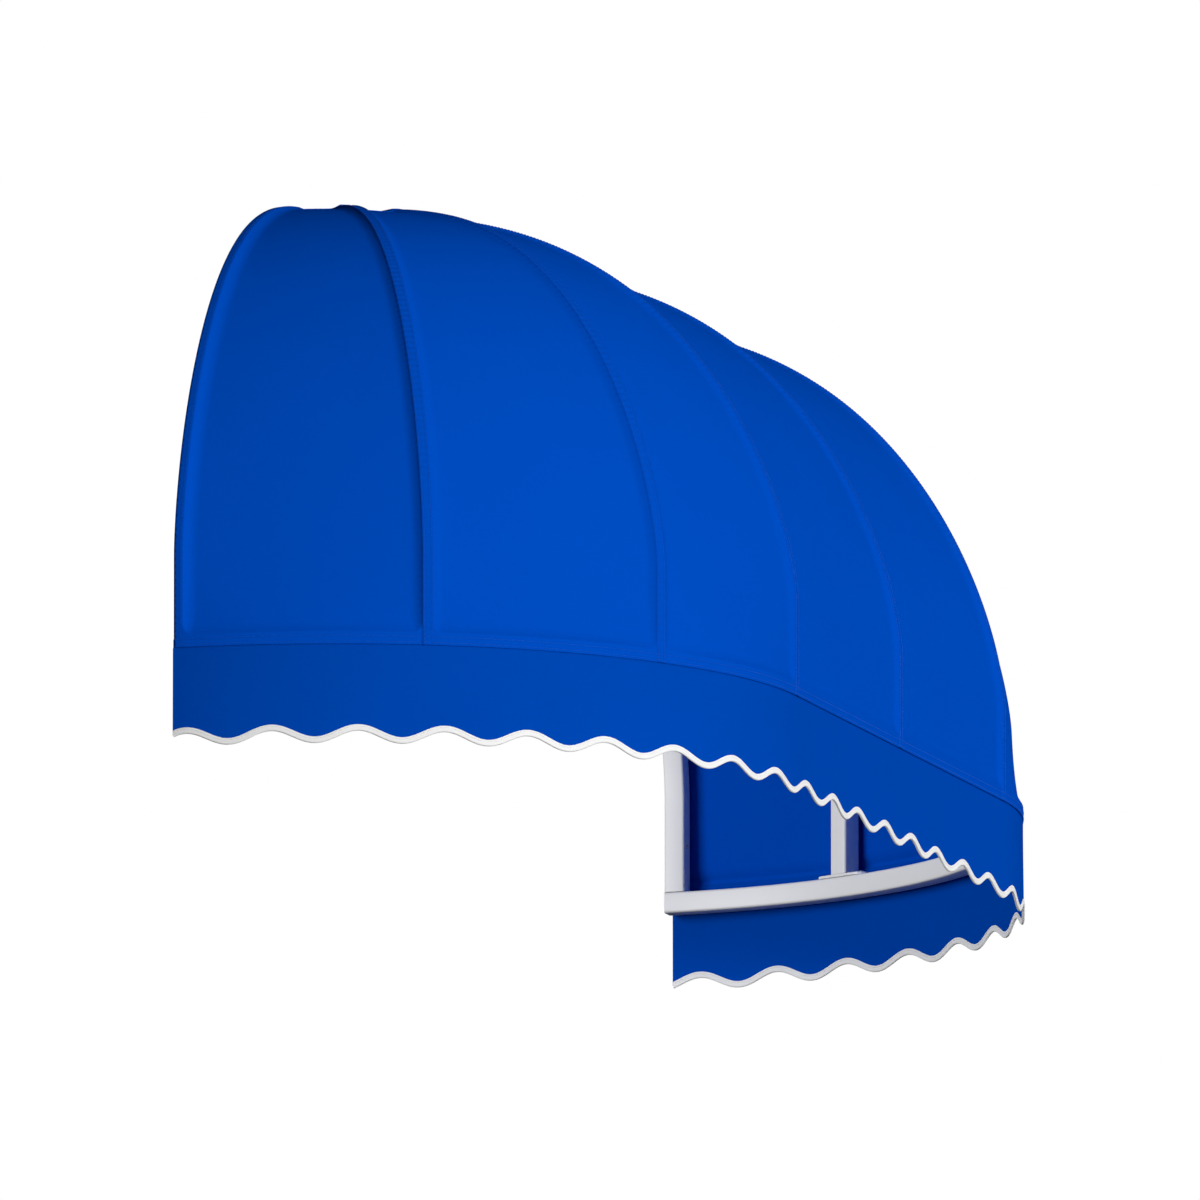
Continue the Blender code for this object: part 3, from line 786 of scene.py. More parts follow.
def upright_tube(name, form, tubes, place, foot_z, end_reach, shift):
    """A tube that stands on the front bow and bends over to the top bow."""
    inside = tubes.inset + tubes.side / 2
    foot, reach_vector = form.ray(place)
    reach = float(np.linalg.norm(reach_vector))
    out = reach_vector / reach
    side = np.array((out[1], -out[0], 0.0))
    base = foot + np.array((0.0, shift, 0.0))
    last = rib_end_turn(form, reach, end_reach, inside)
    start = base + out * (reach - inside) + UP * foot_z
    spring = base + out * (reach - inside) + UP * form.spring
    middles = [start, (start + spring) / 2]
    across = [out, out]
    for turn in np.linspace(0.0, last, 45):
        distance, height, tilt = form.rib_frame(reach, turn)
        middles.append(base + out * (distance - inside * tilt[0])
                       + UP * (height - inside * tilt[1]))
        across.append(out * tilt[0] + UP * tilt[1])
    across[-1] = UP / tilt[1]
    sides = np.tile(side, (len(middles), 1))
    mesh = square_tube(name, np.array(middles), np.array(across), sides, tubes)
    return mesh, middles


class AWNING_OT_wall_arches(bpy.types.Operator):
    """Bend and drill the two arches that lie against the wall"""
    bl_idname = "awning.wall_arches"
    bl_label = "Wall Arches"

    def execute(self, context):
        form = current_form()
        tubes = context.scene.awning_tubes
        half = tubes.side / 2
        for hand, place in (("left", 0.0), ("right", LAST_PLACE)):
            name = "bent_%s_arch" % hand
            foot_z = BAR_Z + half + GAP
            end_reach = form.top * form.cap + GAP
            mesh, middles = upright_tube(name, form, tubes, place, foot_z, end_reach, -half)
            arch = new_piece(name, mesh, finish("white_powder_coat"), "frame_powder_coat",
                             "wall_arch_" + hand)
            spots = [Vector(middles[section]) for section in ARCH_HOLES]
            drill(arch, spots, (0, 1, 0), tubes.wall_hole, 2 * tubes.side)
        return {"FINISHED"}


class AWNING_OT_ribs(bpy.types.Operator):
    """Bend the ribs from the front bow over to the top bow"""
    bl_idname = "awning.ribs"
    bl_label = "Ribs"

    def execute(self, context):
        form = current_form()
        tubes = context.scene.awning_tubes
        for number, place in enumerate(RIB_PLACES, 1):
            name = "bent_rib_%d" % number
            reach = float(np.linalg.norm(form.ray(place)[1]))
            end_reach = form.top * reach + PLATE + 2 * GAP
            foot_z = BAR_Z + tubes.side / 2 + PLATE + 2 * GAP
            mesh, _ = upright_tube(name, form, tubes, place, foot_z, end_reach, 0.0)
            new_piece(name, mesh, finish("white_powder_coat"), "frame_powder_coat",
                      "rib_%d" % number)
        return {"FINISHED"}


class AWNING_OT_plates(bpy.types.Operator):
    """Break the edges of the foot and crown plates and coat them"""
    bl_idname = "awning.plates"
    bl_label = "Foot and Crown Plates"

    def execute(self, context):
        for name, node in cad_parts.items():
            if not name.endswith("_plate"):
                continue
            node.data.materials.clear()
            node.data.materials.append(finish("white_powder_coat"))
            edge = node.modifiers.new("Broken Edges", "BEVEL")
            edge.width = 0.0004
            edge.segments = 2
            edge.angle_limit = math.radians(50)
        return {"FINISHED"}


def screw_mesh(radius):
    """A pan-head screw with a cross recess, its head resting on Z = 0."""
    height = 0.62 * radius
    shank = 0.0020
    outline = [(0.0, -0.0090), (0.0008, -0.0088), (shank, -0.0074), (shank, -0.0002),
               (0.94 * radius, 0.0), (radius, 0.12 * height), (radius, 0.34 * height),
               (0.94 * radius, 0.62 * height), (0.78 * radius, 0.84 * height),
               (0.52 * radius, 0.96 * height), (0.0, height)]
    body = bmesh.new()
    corners = [body.verts.new((x, 0.0, z)) for x, z in outline]
    edges = [body.edges.new(pair) for pair in zip(corners, corners[1:])]
    bmesh.ops.spin(body, geom=corners + edges, cent=(0, 0, 0), axis=(0, 0, 1),
                   angle=2 * math.pi, steps=ROUND_SIDES, use_merge=False)
    bmesh.ops.remove_doubles(body, verts=body.verts, dist=1e-6)
    bmesh.ops.recalc_face_normals(body, faces=body.faces)
    holder = put("screw_holder", mesh_of("foot_screw_shape", body))
    for turn in (0.0, math.pi / 2):
        slot = bmesh.new()
        size = (1.15 * radius, 0.26 * radius, 0.9 * height)
        place = Matrix.Translation((0, 0, height)) @ Matrix.Rotation(turn, 4, "Z")
        bmesh.ops.create_cube(slot, size=1.0, matrix=place @ Matrix.Diagonal((*size, 1.0)))
        low = [v for v in slot.verts if v.co.z < height]
        bmesh.ops.scale(slot, vec=(0.55, 0.55, 1.0), verts=low)
        subtract(holder, put("recess", mesh_of("recess", slot)))
    graph = bpy.context.evaluated_depsgraph_get()
    whole = bpy.data.meshes.new_from_object(holder.evaluated_get(graph))
    for cut in holder.modifiers:
        bpy.data.objects.remove(cut.object)
    bpy.data.objects.remove(holder)
    whole.shade_smooth()
    whole.set_sharp_from_angle(angle=SHARP_ANGLE)
    return whole


class AWNING_OT_screws(bpy.types.Operator):
    """Turn the screws that hold the ribs' foot plates"""
    bl_idname = "awning.screws"
    bl_label = "Foot Screws"

    def execute(self, context):
        shared = screw_mesh(context.scene.awning_tubes.screw_head)
        height = BAR_Z + TUBE / 2 + PLATE + 2 * GAP
        for number in range(1, RIB_COUNT + 1):
            for hand, lean in (("a", 0.4), ("b", 1.1)):
                node = "rib_%d_screw_%s" % (number, hand)
                low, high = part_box(node)
                screw = new_piece("foot_screw_%d_%s" % (number, hand), shared,
                                  finish("zinc_plated_steel"), "screw_zinc", node)
                spot = Matrix.Translation(((low.x + high.x) / 2, (low.y + high.y) / 2, height))
                screw.matrix_world = spot @ Matrix.Rotation(number + lean, 4, "Z")
        return {"FINISHED"}


# Cover -----------------------------------------------------------------------------

BAND_TOP = 0.030              # raised band above the front bar's middle
BAND_FADE = 0.018             # height over which the gore sinks from the band
CORNER = 0.013                # radius of the lower corners of a gore's own field
FULLNESS_FADE = 0.060         # height over which a gore lets go of the front bar's curve
CROWN_FADE = 0.08             # share of the plan over which it takes up the top bow's curve
WALL_PLATEAU = 0.012          # level strip beside the wall
WALL_FOOT = 0.030
HEM = 0.009                   # cloth turned in along the wall
HEM_ROLL = 0.0042             # radius of that turn
COVER_LOW = 0.0150            # lower edge of the cover above the front bar's middle
LAP_GAP = 0.0001              # between two layers of canvas at a seam
PUCKER_REACH = 0.007          # distance from a lap over which the puckers fade


class Gore:
    """One cut panel of the cover, from the seam at its left to the seam at its right."""

    def __init__(self, form, canvas, first, last):
        self.form = form
        self.canvas = canvas
        self.first = first
        self.last = last

    def at_wall(self, side):
        """Whether the panel's left or right side is at the wall."""
        return self.first == 0.0 if side == "left" else self.last == LAST_PLACE

    def edge(self, side):
        """Width of the level strip beside a seam, and where the gore is at its own level."""
        if self.at_wall(side):
            return WALL_PLATEAU, WALL_FOOT
        return self.canvas.lap, self.canvas.seam_foot

    def fullness(self, turn, below):
        """How far the gore follows the curved plan instead of lying flat."""
        ratio, height = self.form.profile(turn)
        climbed = np.maximum(0.0, self.form.spring + height - below - BAR_Z - BAND_TOP)
        full = self.canvas.fullness
        loose = np.exp(-climbed / FULLNESS_FADE) + np.exp(-(ratio - self.form.top) / CROWN_FADE)
        return np.minimum(1.0, full + (1 - full) * loose)

    def point(self, left, width, turn, below):
        """Point and outward normal at a distance from the left seam in a row of a given width."""
        form = self.form
        right = width - left
        share = np.clip(left / width, 0.0, 1.0)
        place = self.first + (self.last - self.first) * share
        start = form.surface(np.full_like(place, self.first), turn, below)
        end = form.surface(np.full_like(place, self.last), turn, below)
        flat = start + row(share) * (end - start)
        point = flat + row(self.fullness(turn, below)) * (form.surface(place, turn, below) - flat)
        field = np.full_like(place, BAND_FADE)
        for side, distance, seam, corner, sign in (("left", left, start, self.first, 1),
                                                   ("right", right, end, self.last, -1)):
            plateau, foot = self.edge(side)
            reached = (distance - plateau) / (foot - plateau)
            beside = seam + row(sign * distance) * form.along(corner)
            point += row(1 - settle(reached)) * (beside - point)
            field = np.minimum(field, reached * BAND_FADE)
        ratio, height = form.profile(turn)
        raised = form.spring + height - below - BAR_Z - BAND_TOP
        short = np.hypot(np.maximum(0, CORNER - field), np.maximum(0, CORNER - raised))
        inside = CORNER - short + np.maximum(0, np.minimum(field, raised) - CORNER)
        depth = self.canvas.sunk * settle(inside / BAND_FADE)
        normal = form.normal(place, turn)
        over = 0.0 if self.at_wall("right") else self.canvas.thickness + LAP_GAP
        lift = over * smooth((self.canvas.lap + 0.0015 - right) / 0.002)
        return point + row(lift - depth) * normal, normal

    def side_columns(self, side, lapped):
        """Distances from a side, over its level strip and down to the gore's own level."""
        plateau, foot = self.edge(side)
        edge = plateau * np.array(lapped)
        if self.at_wall(side):
            edge = np.linspace(HEM_ROLL, plateau, 5)[:-1]
        near = np.linspace(0.0, 1.0, 14) ** 1.4
        return np.concatenate((edge, plateau + (foot - plateau) * near))

    def columns(self, width):
        """Distances from the left seam across one row."""
        left = self.side_columns("left", (-0.8, 0.0))
        right = self.side_columns("right", (-1.0, -0.5, 0.0, 0.5))
        inner = np.linspace(left[-1], width - right[-1], 15)[1:-1]
        return np.concatenate((left, inner, width - right[::-1]))

    def rows(self):
        """Turns of the profile and drops below the spring line, from the hem to the crown."""
        spring = self.form.spring - BAR_Z
        fall = np.linspace(0.0, 1.0, 16) ** 1.4
        heights = np.concatenate((np.linspace(COVER_LOW, BAND_TOP, 6),
                                  BAND_TOP + BAND_FADE * fall[1:],
                                  np.linspace(BAND_TOP + BAND_FADE, spring, 9)[1:-1]))
        turns = np.linspace(0.0, self.form.top_turn + 0.012, 58)
        turn = np.concatenate((np.zeros_like(heights), turns))
        below = np.concatenate((spring - heights, np.zeros_like(turns)))
        return turn, below

    def grids(self):
        """Outer and inner grids of points, the cloth map and the closeness to a seam."""
        turn, below = self.rows()
        ratio, _ = self.form.profile(turn)
        widths = self.form.width(self.first, self.last, ratio)
        distances = np.array([self.columns(width) for width in widths])
        count = distances.shape[1]
        spread = [np.repeat(values[:, None], count, axis=1) for values in (widths, turn, below)]
        outer, normal = self.point(distances, *spread)
        inner = outer - self.canvas.thickness * normal
        near = np.minimum(np.abs(distances), np.abs(spread[0] - distances))
        marks = np.exp(-np.maximum(0.0, near - self.canvas.lap) / PUCKER_REACH)
        outer, inner, distances, marks = self.add_wall_hems(outer, inner, normal, distances, marks)
        climbed = lengths_along(outer[:, outer.shape[1] // 2])
        halves = distances - spread[0][:, :1] / 2
        uv = np.stack((halves, np.repeat(climbed[:, None], outer.shape[1], axis=1)), axis=-1)
        return outer, inner, uv, marks, climbed

    def add_wall_hems(self, outer, inner, normal, distances, marks):
        """Roll the cloth in along the wall, at whichever side meets it."""
        thick = self.canvas.thickness
        for side, column, towards in (("left", 0, -1.0), ("right", -1, 1.0)):
            if not self.at_wall(side):
                continue
            direction = row(np.full(len(outer), towards)) * self.form.along(
                self.first if side == "left" else self.last)
            edge, away = outer[:, column], normal[:, column]
            reach = HEM_ROLL - GAP
            hem_outer, hem_inner, hem_distance = [], [], []
            rolled = [(angle, 0.0) for angle in np.linspace(0.0, math.pi / 2, 7)[1:]]
            for angle, depth in rolled + [(math.pi / 2, 0.5 * HEM), (math.pi / 2, HEM)]:
                for grid, radius in ((hem_outer, reach), (hem_inner, reach - thick)):
                    grid.append(edge + radius * math.sin(angle) * direction
                                - (reach + depth - radius * math.cos(angle)) * away)
                hem_distance.append(reach * angle + depth)
            extra = distances[:, column][:, None] + towards * np.array(hem_distance)[None]
            grids = []
            for grid, hem in ((outer, np.stack(hem_outer, 1)), (inner, np.stack(hem_inner, 1)),
                              (distances, extra), (marks, np.zeros_like(extra))):
                pair = (hem[:, ::-1], grid) if side == "left" else (grid, hem)
                grids.append(np.concatenate(pair, axis=1))
            outer, inner, distances, marks = grids
        return outer, inner, distances, marks

    def row_path(self, height, start, end, step=0.0012):
        """Points and normals along one row at a height above the front bar's middle."""
        width = float(self.form.width(self.first, self.last, 1.0)[0])
        distances = np.arange(start, width + end, step)
        turn = np.zeros_like(distances)
        below = np.full_like(distances, self.form.spring - BAR_Z - height)
        return self.point(distances, np.full_like(distances, width), turn, below)

    def seam_path(self, side, offset):
        """Points and normals that climb beside a seam, at an offset towards the right."""
        turn, below = self.rows()
        widths = self.form.width(self.first, self.last, self.form.profile(turn)[0])
        distances = np.full_like(widths, offset) if side == "left" else widths + offset
        return self.point(distances, widths, turn, below)


def all_gores(context):
    """Every gore, from the left end of the wall to the right end."""
    form = current_form()
    canvas = context.scene.awning_canvas
    return [Gore(form, canvas, first, last) for first, last in zip(SEAM_PLACES, SEAM_PLACES[1:])]


class AWNING_OT_gores(bpy.types.Operator):
    """Stretch the gores of canvas over the ribs, each lapped over the next"""
    bl_idname = "awning.gores"
    bl_label = "Canvas Gores"

    def execute(self, context):
        for number, gore in enumerate(all_gores(context), 1):
            outer, inner, uv, marks, climbed = gore.grids()
            name = "canvas_gore_%d" % number
            mesh = sheet_mesh(name, outer, inner, uv, {"seam": marks})
            piece = new_piece(name, mesh, finish("blue_awning_canvas"), "awning_cloth",
                              "gore_%d" % number)
        return {"FINISHED"}


RIDGE_RUN = 0.020             # how far a seam's ridge runs on over the crown
RIDGE_FADE = 0.026            # length over which it then fades
CROWN_LAP = 0.012             # share of the plan by which the crown laps over the gores
CROWN_GAP = 0.0003            # between the crown panel and the gores under it


def crown_grid(form, canvas, places, ratios):
    """Outer points of the crown panel with their normals and closeness to a seam."""
    ridges = np.array(RIB_PLACES)
    rows, columns = len(ratios), len(places)
    ratio = np.repeat(ratios[:, None], columns, axis=1)
    place = np.repeat(places[None], rows, axis=0)
    turn = np.arccos(np.clip(np.maximum(ratio, form.top), 0, 1) ** (form.plan_power / 2))
    dome = form.surface(place, turn, 0.0)
    level = form.plan_point(place, ratio, 0.0, form.crest)
    outside = ratio > form.top
    point = np.where(outside[..., None], dome, level)
    rim = form.plan_point(ridges, form.top, 0.0, 0.0)
    flat = point.copy()
    flat[..., 2] = 0.0
    offset = flat[..., None, :] - rim
    along = np.abs(np.sum(offset * form.along(ridges), axis=-1))
    inwards = -np.sum(offset * form.plan_normal(ridges), axis=-1)
    beside = settle((along - canvas.lap) / (canvas.seam_foot - canvas.lap))
    faded = smooth((inwards - RIDGE_RUN) / RIDGE_FADE)
    share = np.min(1 - (1 - beside) * (1 - faded), axis=-1)
    normal = np.where(outside[..., None], form.normal(place, turn), UP)
    lift = canvas.thickness + CROWN_GAP + (canvas.thickness + LAP_GAP) * (1 - share)
    return point + row(lift - canvas.sunk * share) * normal, normal, 1 - share


class AWNING_OT_crown(bpy.types.Operator):
    """Sew the crown panel over the tops of the gores"""
    bl_idname = "awning.crown"
    bl_label = "Crown Panel"

    def execute(self, context):
        form = current_form()
        canvas = context.scene.awning_canvas
        places = np.linspace(0.0, LAST_PLACE, 241)
        ratios = np.concatenate((np.linspace(form.top + CROWN_LAP, form.top, 5),
                                 form.top * np.linspace(1.0, 0.02, 26)[1:]))
        outer, normal, marks = crown_grid(form, canvas, places, ratios)
        inner = outer - canvas.thickness * normal
        mesh = sheet_mesh("canvas_crown", outer, inner, outer[..., :2], {"seam": 0.5 * marks})
        piece = new_piece("canvas_crown", mesh, finish("blue_awning_canvas"), "awning_cloth",
                          "top_panel")
        return {"FINISHED"}


# Valance ---------------------------------------------------------------------------

def even_run(form, step):
    """Places at even lengths round the whole plan, with the length at each."""
    fine = np.linspace(0.0, LAST_PLACE, 4001)
    lengths = lengths_along(form.plan_point(fine, 1.0, 0.0, 0.0))
    even = np.linspace(0.0, lengths[-1], int(round(lengths[-1] / step)) + 1)
    return np.interp(even, lengths, fine), even


def scallop_height(trim, length):
    """Height of the tape's middle line at lengths round the plan."""
    turn = 2 * math.pi * (length / trim.scallop + trim.start)
    return BINDING_Z + trim.swing * np.cos(turn)


def hang(form, trim, length, place, inset, height):
    """A point of the hanging valance, which wanders a little towards its lower edge."""
    drop = smooth((VALANCE_TOP_Z - np.asarray(height)) / (VALANCE_TOP_Z - BINDING_Z))
    turn = 2 * math.pi * length
    wander = np.sin(turn / LONG_SWAY) + 0.6 * np.sin(turn / SHORT_SWAY + 1.0)
    return form.plan_point(place, 1.0, inset - trim.sway * wander * drop, height)


MIDDLE_INSET = 0.0010         # from the outside of the plan in to the valance's middle layer
HEM_INSET = 0.0018            # further in, where the valance lies under the cover's edge
HEM_LAP = 0.010               # height of the valance under the cover
HEM_BELOW = 0.0022            # from the cover's edge down to where the valance turns in
HEM_RISE = 0.0034             # height over which it turns in
LONG_SWAY = 0.31              # lengths of the two waves in which the hanging edge wanders
SHORT_SWAY = 0.173
TAPE_SKIN = 0.00045           # thickness of the binding tape


class AWNING_OT_valance(bpy.types.Operator):
    """Hang the scalloped valance from the cover's lower edge"""
    bl_idname = "awning.valance"
    bl_label = "Valance"

    def execute(self, context):
        form = current_form()
        trim = context.scene.awning_trim
        thick = context.scene.awning_canvas.thickness
        place, length = even_run(form, 0.0045)
        low = scallop_height(trim, length)
        top = BAR_Z + COVER_LOW + HEM_LAP
        jog = BAR_Z + COVER_LOW - HEM_BELOW
        rows, insets = [], []
        for share in np.linspace(0.0, 1.0, 14):
            rows.append(low + share * (jog - low))
            insets.append(MIDDLE_INSET)
        for share in (0.25, 0.5, 0.75, 1.0):
            rows.append(np.full_like(low, jog + HEM_RISE * share))
            insets.append(MIDDLE_INSET + HEM_INSET * float(smooth(share)))
        rows.append(np.full_like(low, top))
        insets.append(MIDDLE_INSET + HEM_INSET)
        grids = []
        for side in (-0.5, 0.5):
            grids.append(np.stack([hang(form, trim, length, place, inset + side * thick, height)
                                   for inset, height in zip(insets, rows)]))
        uv = np.stack([np.stack((length, height - BAR_Z), axis=-1) for height in rows])
        # Its finish paints shade: the same canvas as the cover, in a darker blue.
        mesh = sheet_mesh("scalloped_valance", *grids, uv, {"seam": np.zeros(uv.shape[:2])})
        piece = new_piece("scalloped_valance", mesh, finish("blue_valance_canvas"),
                          "awning_cloth", "valance")
        return {"FINISHED"}


def tape_section(trim):
    """Points once round a folded tape, as (outwards, upwards) pairs from its middle."""
    half, fold = trim.tape / 2, trim.tape_fold / 2
    outer = [(0.62 * fold, half), (0.72 * fold, 0.86 * half), (0.76 * fold, 0.3 * half),
             (0.88 * fold, -0.25 * half), (fold, -0.6 * half)]
    for angle in np.linspace(0.0, math.pi / 2, 5)[1:]:
        outer.append((fold * math.cos(angle), -0.6 * half - 0.4 * half * math.sin(angle)))
    inner = [(max(0.0, out - TAPE_SKIN), min(up + 0.0001, half)) for out, up in outer]
    inner[-1] = (0.0, -half + TAPE_SKIN)
    inner[-2] = (0.35 * fold, -half + 1.15 * TAPE_SKIN)
    left = [(-out, up) for out, up in reversed(outer[:-1])]
    left_inner = [(-out, up) for out, up in inner[:-1]]
    return np.array(outer + left + left_inner + inner[::-1])


class AWNING_OT_binding(bpy.types.Operator):
    """Fold the tape over the scalloped edge"""
    bl_idname = "awning.binding"
    bl_label = "Scallop Binding"

    def execute(self, context):
        form = current_form()
        trim = context.scene.awning_trim
        place, length = even_run(form, 0.0040)
        height = scallop_height(trim, length)
        middle = hang(form, trim, length, place, MIDDLE_INSET, height)
        along = unit(np.gradient(middle, axis=0))
        out = form.plan_normal(place)
        up = unit(np.cross(along, out))
        up = np.where(up[:, 2:] < 0, -up, up)
        section = tape_section(trim)
        rings = (middle[:, None] + section[None, :, :1] * out[:, None]
                 + section[None, :, 1:] * up[:, None])
        rings[..., 1] = np.minimum(rings[..., 1], 0.0)
        count, sides = rings.shape[:2]
        faces = ring_quads(count, sides).tolist()
        faces += [list(range(sides)), list(range((count - 1) * sides, count * sides))]
        around = lengths_along(section)
        uv = np.stack((np.repeat(length[:, None], sides, 1), np.repeat(around[None], count, 0)), -1)
        mesh = finish_mesh("scallop_binding", rings.reshape(-1, 3), faces, uv.reshape(-1, 2))
        new_piece("scallop_binding", mesh, finish("white_binding_tape"), "binding_tape",
                  "valance_binding")
        return {"FINISHED"}


# Stitching -------------------------------------------------------------------------

STITCH_GAP = 0.0009           # between one stitch and the next
SEAM_MARGIN = 0.0016          # from the edge of a lap to its stitches
WALL_HEM_ROW = 0.0095         # from the wall to the wall hem's stitches
HEM_ROWS = (0.0028, 0.0098)   # heights of the hem's stitches above the cover's edge

def stitch_points(points, normals, canvas):
    """Rings of points of the stitches along a path, as an array of stitches."""
    lengths = lengths_along(points)
    pitch = canvas.stitch + STITCH_GAP
    count = int(lengths[-1] / pitch)
    starts = (lengths[-1] - count * pitch) / 2 + pitch * np.arange(count)
    stations = np.array((0.0, 0.12, 0.5, 0.88, 1.0))
    spots = starts[:, None] + canvas.stitch * stations[None]
    middle = np.stack([np.interp(spots, lengths, points[:, axis]) for axis in range(3)], axis=-1)
    away = unit(np.stack([np.interp(spots, lengths, normals[:, axis]) for axis in range(3)], axis=-1))
    ahead = unit(middle[:, -1:] - middle[:, :1])
    side = unit(np.cross(ahead, away))
    rise = canvas.thread * np.array((-0.9, 0.35, 0.75, 0.35, -0.9))
    radius = canvas.thread * np.array((0.5, 0.95, 1.0, 0.95, 0.5))
    middle = middle + rise[None, :, None] * away
    angles = np.linspace(0.0, 2 * math.pi, 7)[:-1]
    ring = np.cos(angles)[:, None] * side[:, :, None] + np.sin(angles)[:, None] * away[:, :, None]
    return middle[:, :, None] + radius[None, :, None, None] * ring


def stitching(name, rows, finish_name, slot, canvas):
    """One piece of stitches along each (points, normals) row."""
    points, faces, uv = [], [], []
    first = 0
    for path, normals in rows:
        rings = stitch_points(path, normals, canvas)
        count, stations, sides = rings.shape[:3]
        one = ring_quads(stations, sides)
        size = stations * sides
        starts = first + size * np.arange(count)
        faces += (starts[:, None, None] + one[None]).reshape(-1, 4).tolist()
        for start in starts:
            faces.append(list(range(start, start + sides)))
            faces.append(list(range(start + size - sides, start + size)))
        points.append(rings.reshape(-1, 3))
        along = np.tile(np.repeat(np.linspace(0, canvas.stitch, stations), sides), count)
        around = np.tile(np.arange(sides) / sides, count * stations)
        uv.append(np.stack((along, around), axis=-1))
        first += count * size
    mesh = finish_mesh(name, np.concatenate(points), faces, np.concatenate(uv))
    return new_piece(name, mesh, finish(finish_name), slot)


class AWNING_OT_cover_stitching(bpy.types.Operator):
    """Topstitch the lapped seams, the hem and the wall hems of the cover"""
    bl_idname = "awning.cover_stitching"
    bl_label = "Cover Stitching"

    def execute(self, context):
        gores = all_gores(context)
        canvas = context.scene.awning_canvas
        margin = canvas.lap - SEAM_MARGIN
        style = ("blue_sewing_thread", "awning_cloth", canvas)
        for number, gore in enumerate(gores[:-1], 1):
            rows = [gore.seam_path("right", offset) for offset in (-margin, margin)]
            stitching("seam_stitching_%d" % number, rows, *style)
        rows = [gores[0].seam_path("left", WALL_HEM_ROW),
                gores[-1].seam_path("right", -WALL_HEM_ROW)]
        stitching("wall_hem_stitching", rows, *style)
        rows = []
        for height in HEM_ROWS:
            for gore in gores:
                start = HEM_ROLL if gore.at_wall("left") else canvas.lap + 0.001
                end = -HEM_ROLL if gore.at_wall("right") else canvas.lap - 0.001
                rows.append(gore.row_path(COVER_LOW + height, start, end))
        stitching("hem_stitching", rows, *style)
        return {"FINISHED"}


class AWNING_OT_trim_stitching(bpy.types.Operator):
    """Stitch the binding tape on both faces of the valance"""
    bl_idname = "awning.trim_stitching"
    bl_label = "Trim Stitching"

    def execute(self, context):
        form = current_form()
        trim = context.scene.awning_trim
        canvas = context.scene.awning_canvas
        place, length = even_run(form, 0.002)
        rows = []
        for side in (1.0, -1.0):
            inset = MIDDLE_INSET - side * 0.385 * trim.tape_fold
            height = scallop_height(trim, length) + 0.22 * trim.tape
            path = hang(form, trim, length, place, inset, height)
            path[..., 1] = np.minimum(path[..., 1], -GAP)
            rows.append((path, side * form.plan_normal(place)))
        stitching("binding_stitching", rows, "white_sewing_thread", "binding_tape", canvas)
        return {"FINISHED"}


# Stage -----------------------------------------------------------------------------

SENSOR = 36.0                 # width of the camera's sensor, in mm
FLOOR_BELOW = 1.5             # from the camera down to the floor
FLOOR_RADIUS = 160.0
GLOW_SIZE = 0.70              # side of the panel that lights the inside
GLOW_BEHIND = 0.75            # from the wall's plane back to that panel


def towards(azimuth, elevation):
    """Direction to something round the awning, with azimuth 0 at the front and -90 at -X."""
    level = math.cos(elevation)
    return Vector((math.sin(azimuth) * level, -math.cos(azimuth) * level, math.sin(elevation)))


def put_aimed(name, data, place, ahead):
    """A light or camera at a place, turned to look ahead."""
    thing = put(name, data)
    thing.location = place
    thing.rotation_mode = "QUATERNION"
    thing.rotation_quaternion = ahead.to_track_quat("-Z", "Y")
    return thing


def add_sun(name, strength, softness, azimuth, elevation):
    """A soft parallel light from a direction."""
    lamp = bpy.data.lights.new(name, "SUN")
    lamp.energy = strength
    lamp.angle = math.radians(softness)
    back = towards(math.radians(azimuth), math.radians(elevation))
    put_aimed(name, lamp, (0, 0, 0), -back)


def add_glow(name, power):
    """A soft panel behind the wall's plane that lights the inside of the cover."""
    lamp = bpy.data.lights.new(name, "AREA")
    lamp.shape = "SQUARE"
    lamp.size = GLOW_SIZE
    lamp.energy = power
    place = Vector((-0.45 * HALF_WIDTH, GLOW_BEHIND, 0.8 * BAR_Z))
    target = Vector((0.75 * HALF_WIDTH, -0.4 * DEPTH, 0.8 * BAR_Z))
    put_aimed(name, lamp, place, target - place).visible_camera = False


def pale_floor(stage):
    """A wide pale disc below the camera, clear when seen from under it."""
    drop = stage.view_width * stage.lens / SENSOR * math.sin(stage.elevation) - FLOOR_BELOW
    body = bmesh.new()
    bmesh.ops.create_circle(body, cap_ends=True, segments=96, radius=FLOOR_RADIUS,
                            matrix=Matrix.Translation((0, 0, drop)))
    mesh = mesh_of("floor", body)
    floor = put("floor", mesh)
    material, tree, _ = new_material("pale_floor", 0.9, 0.2)
    spot = add_node(tree, "TexCoord").outputs["Object"]
    tone = shades(tree, noise(tree, spot, 0.5, 2.0), stage.floor, 0.99, 1.01)
    glow = add_node(tree, "Emission", {"Color": tone})
    clear = add_node(tree, "BsdfTransparent")
    below = add_node(tree, "NewGeometry").outputs["Backfacing"]
    either = add_node(tree, "MixShader", {"Fac": below, 1: glow.outputs[0], 2: clear.outputs[0]})
    tree.links.new(either.outputs[0], tree.nodes["Material Output"].inputs["Surface"])
    mesh.materials.append(material)
    floor.visible_shadow = False
    floor.visible_diffuse = False
    floor.visible_glossy = False


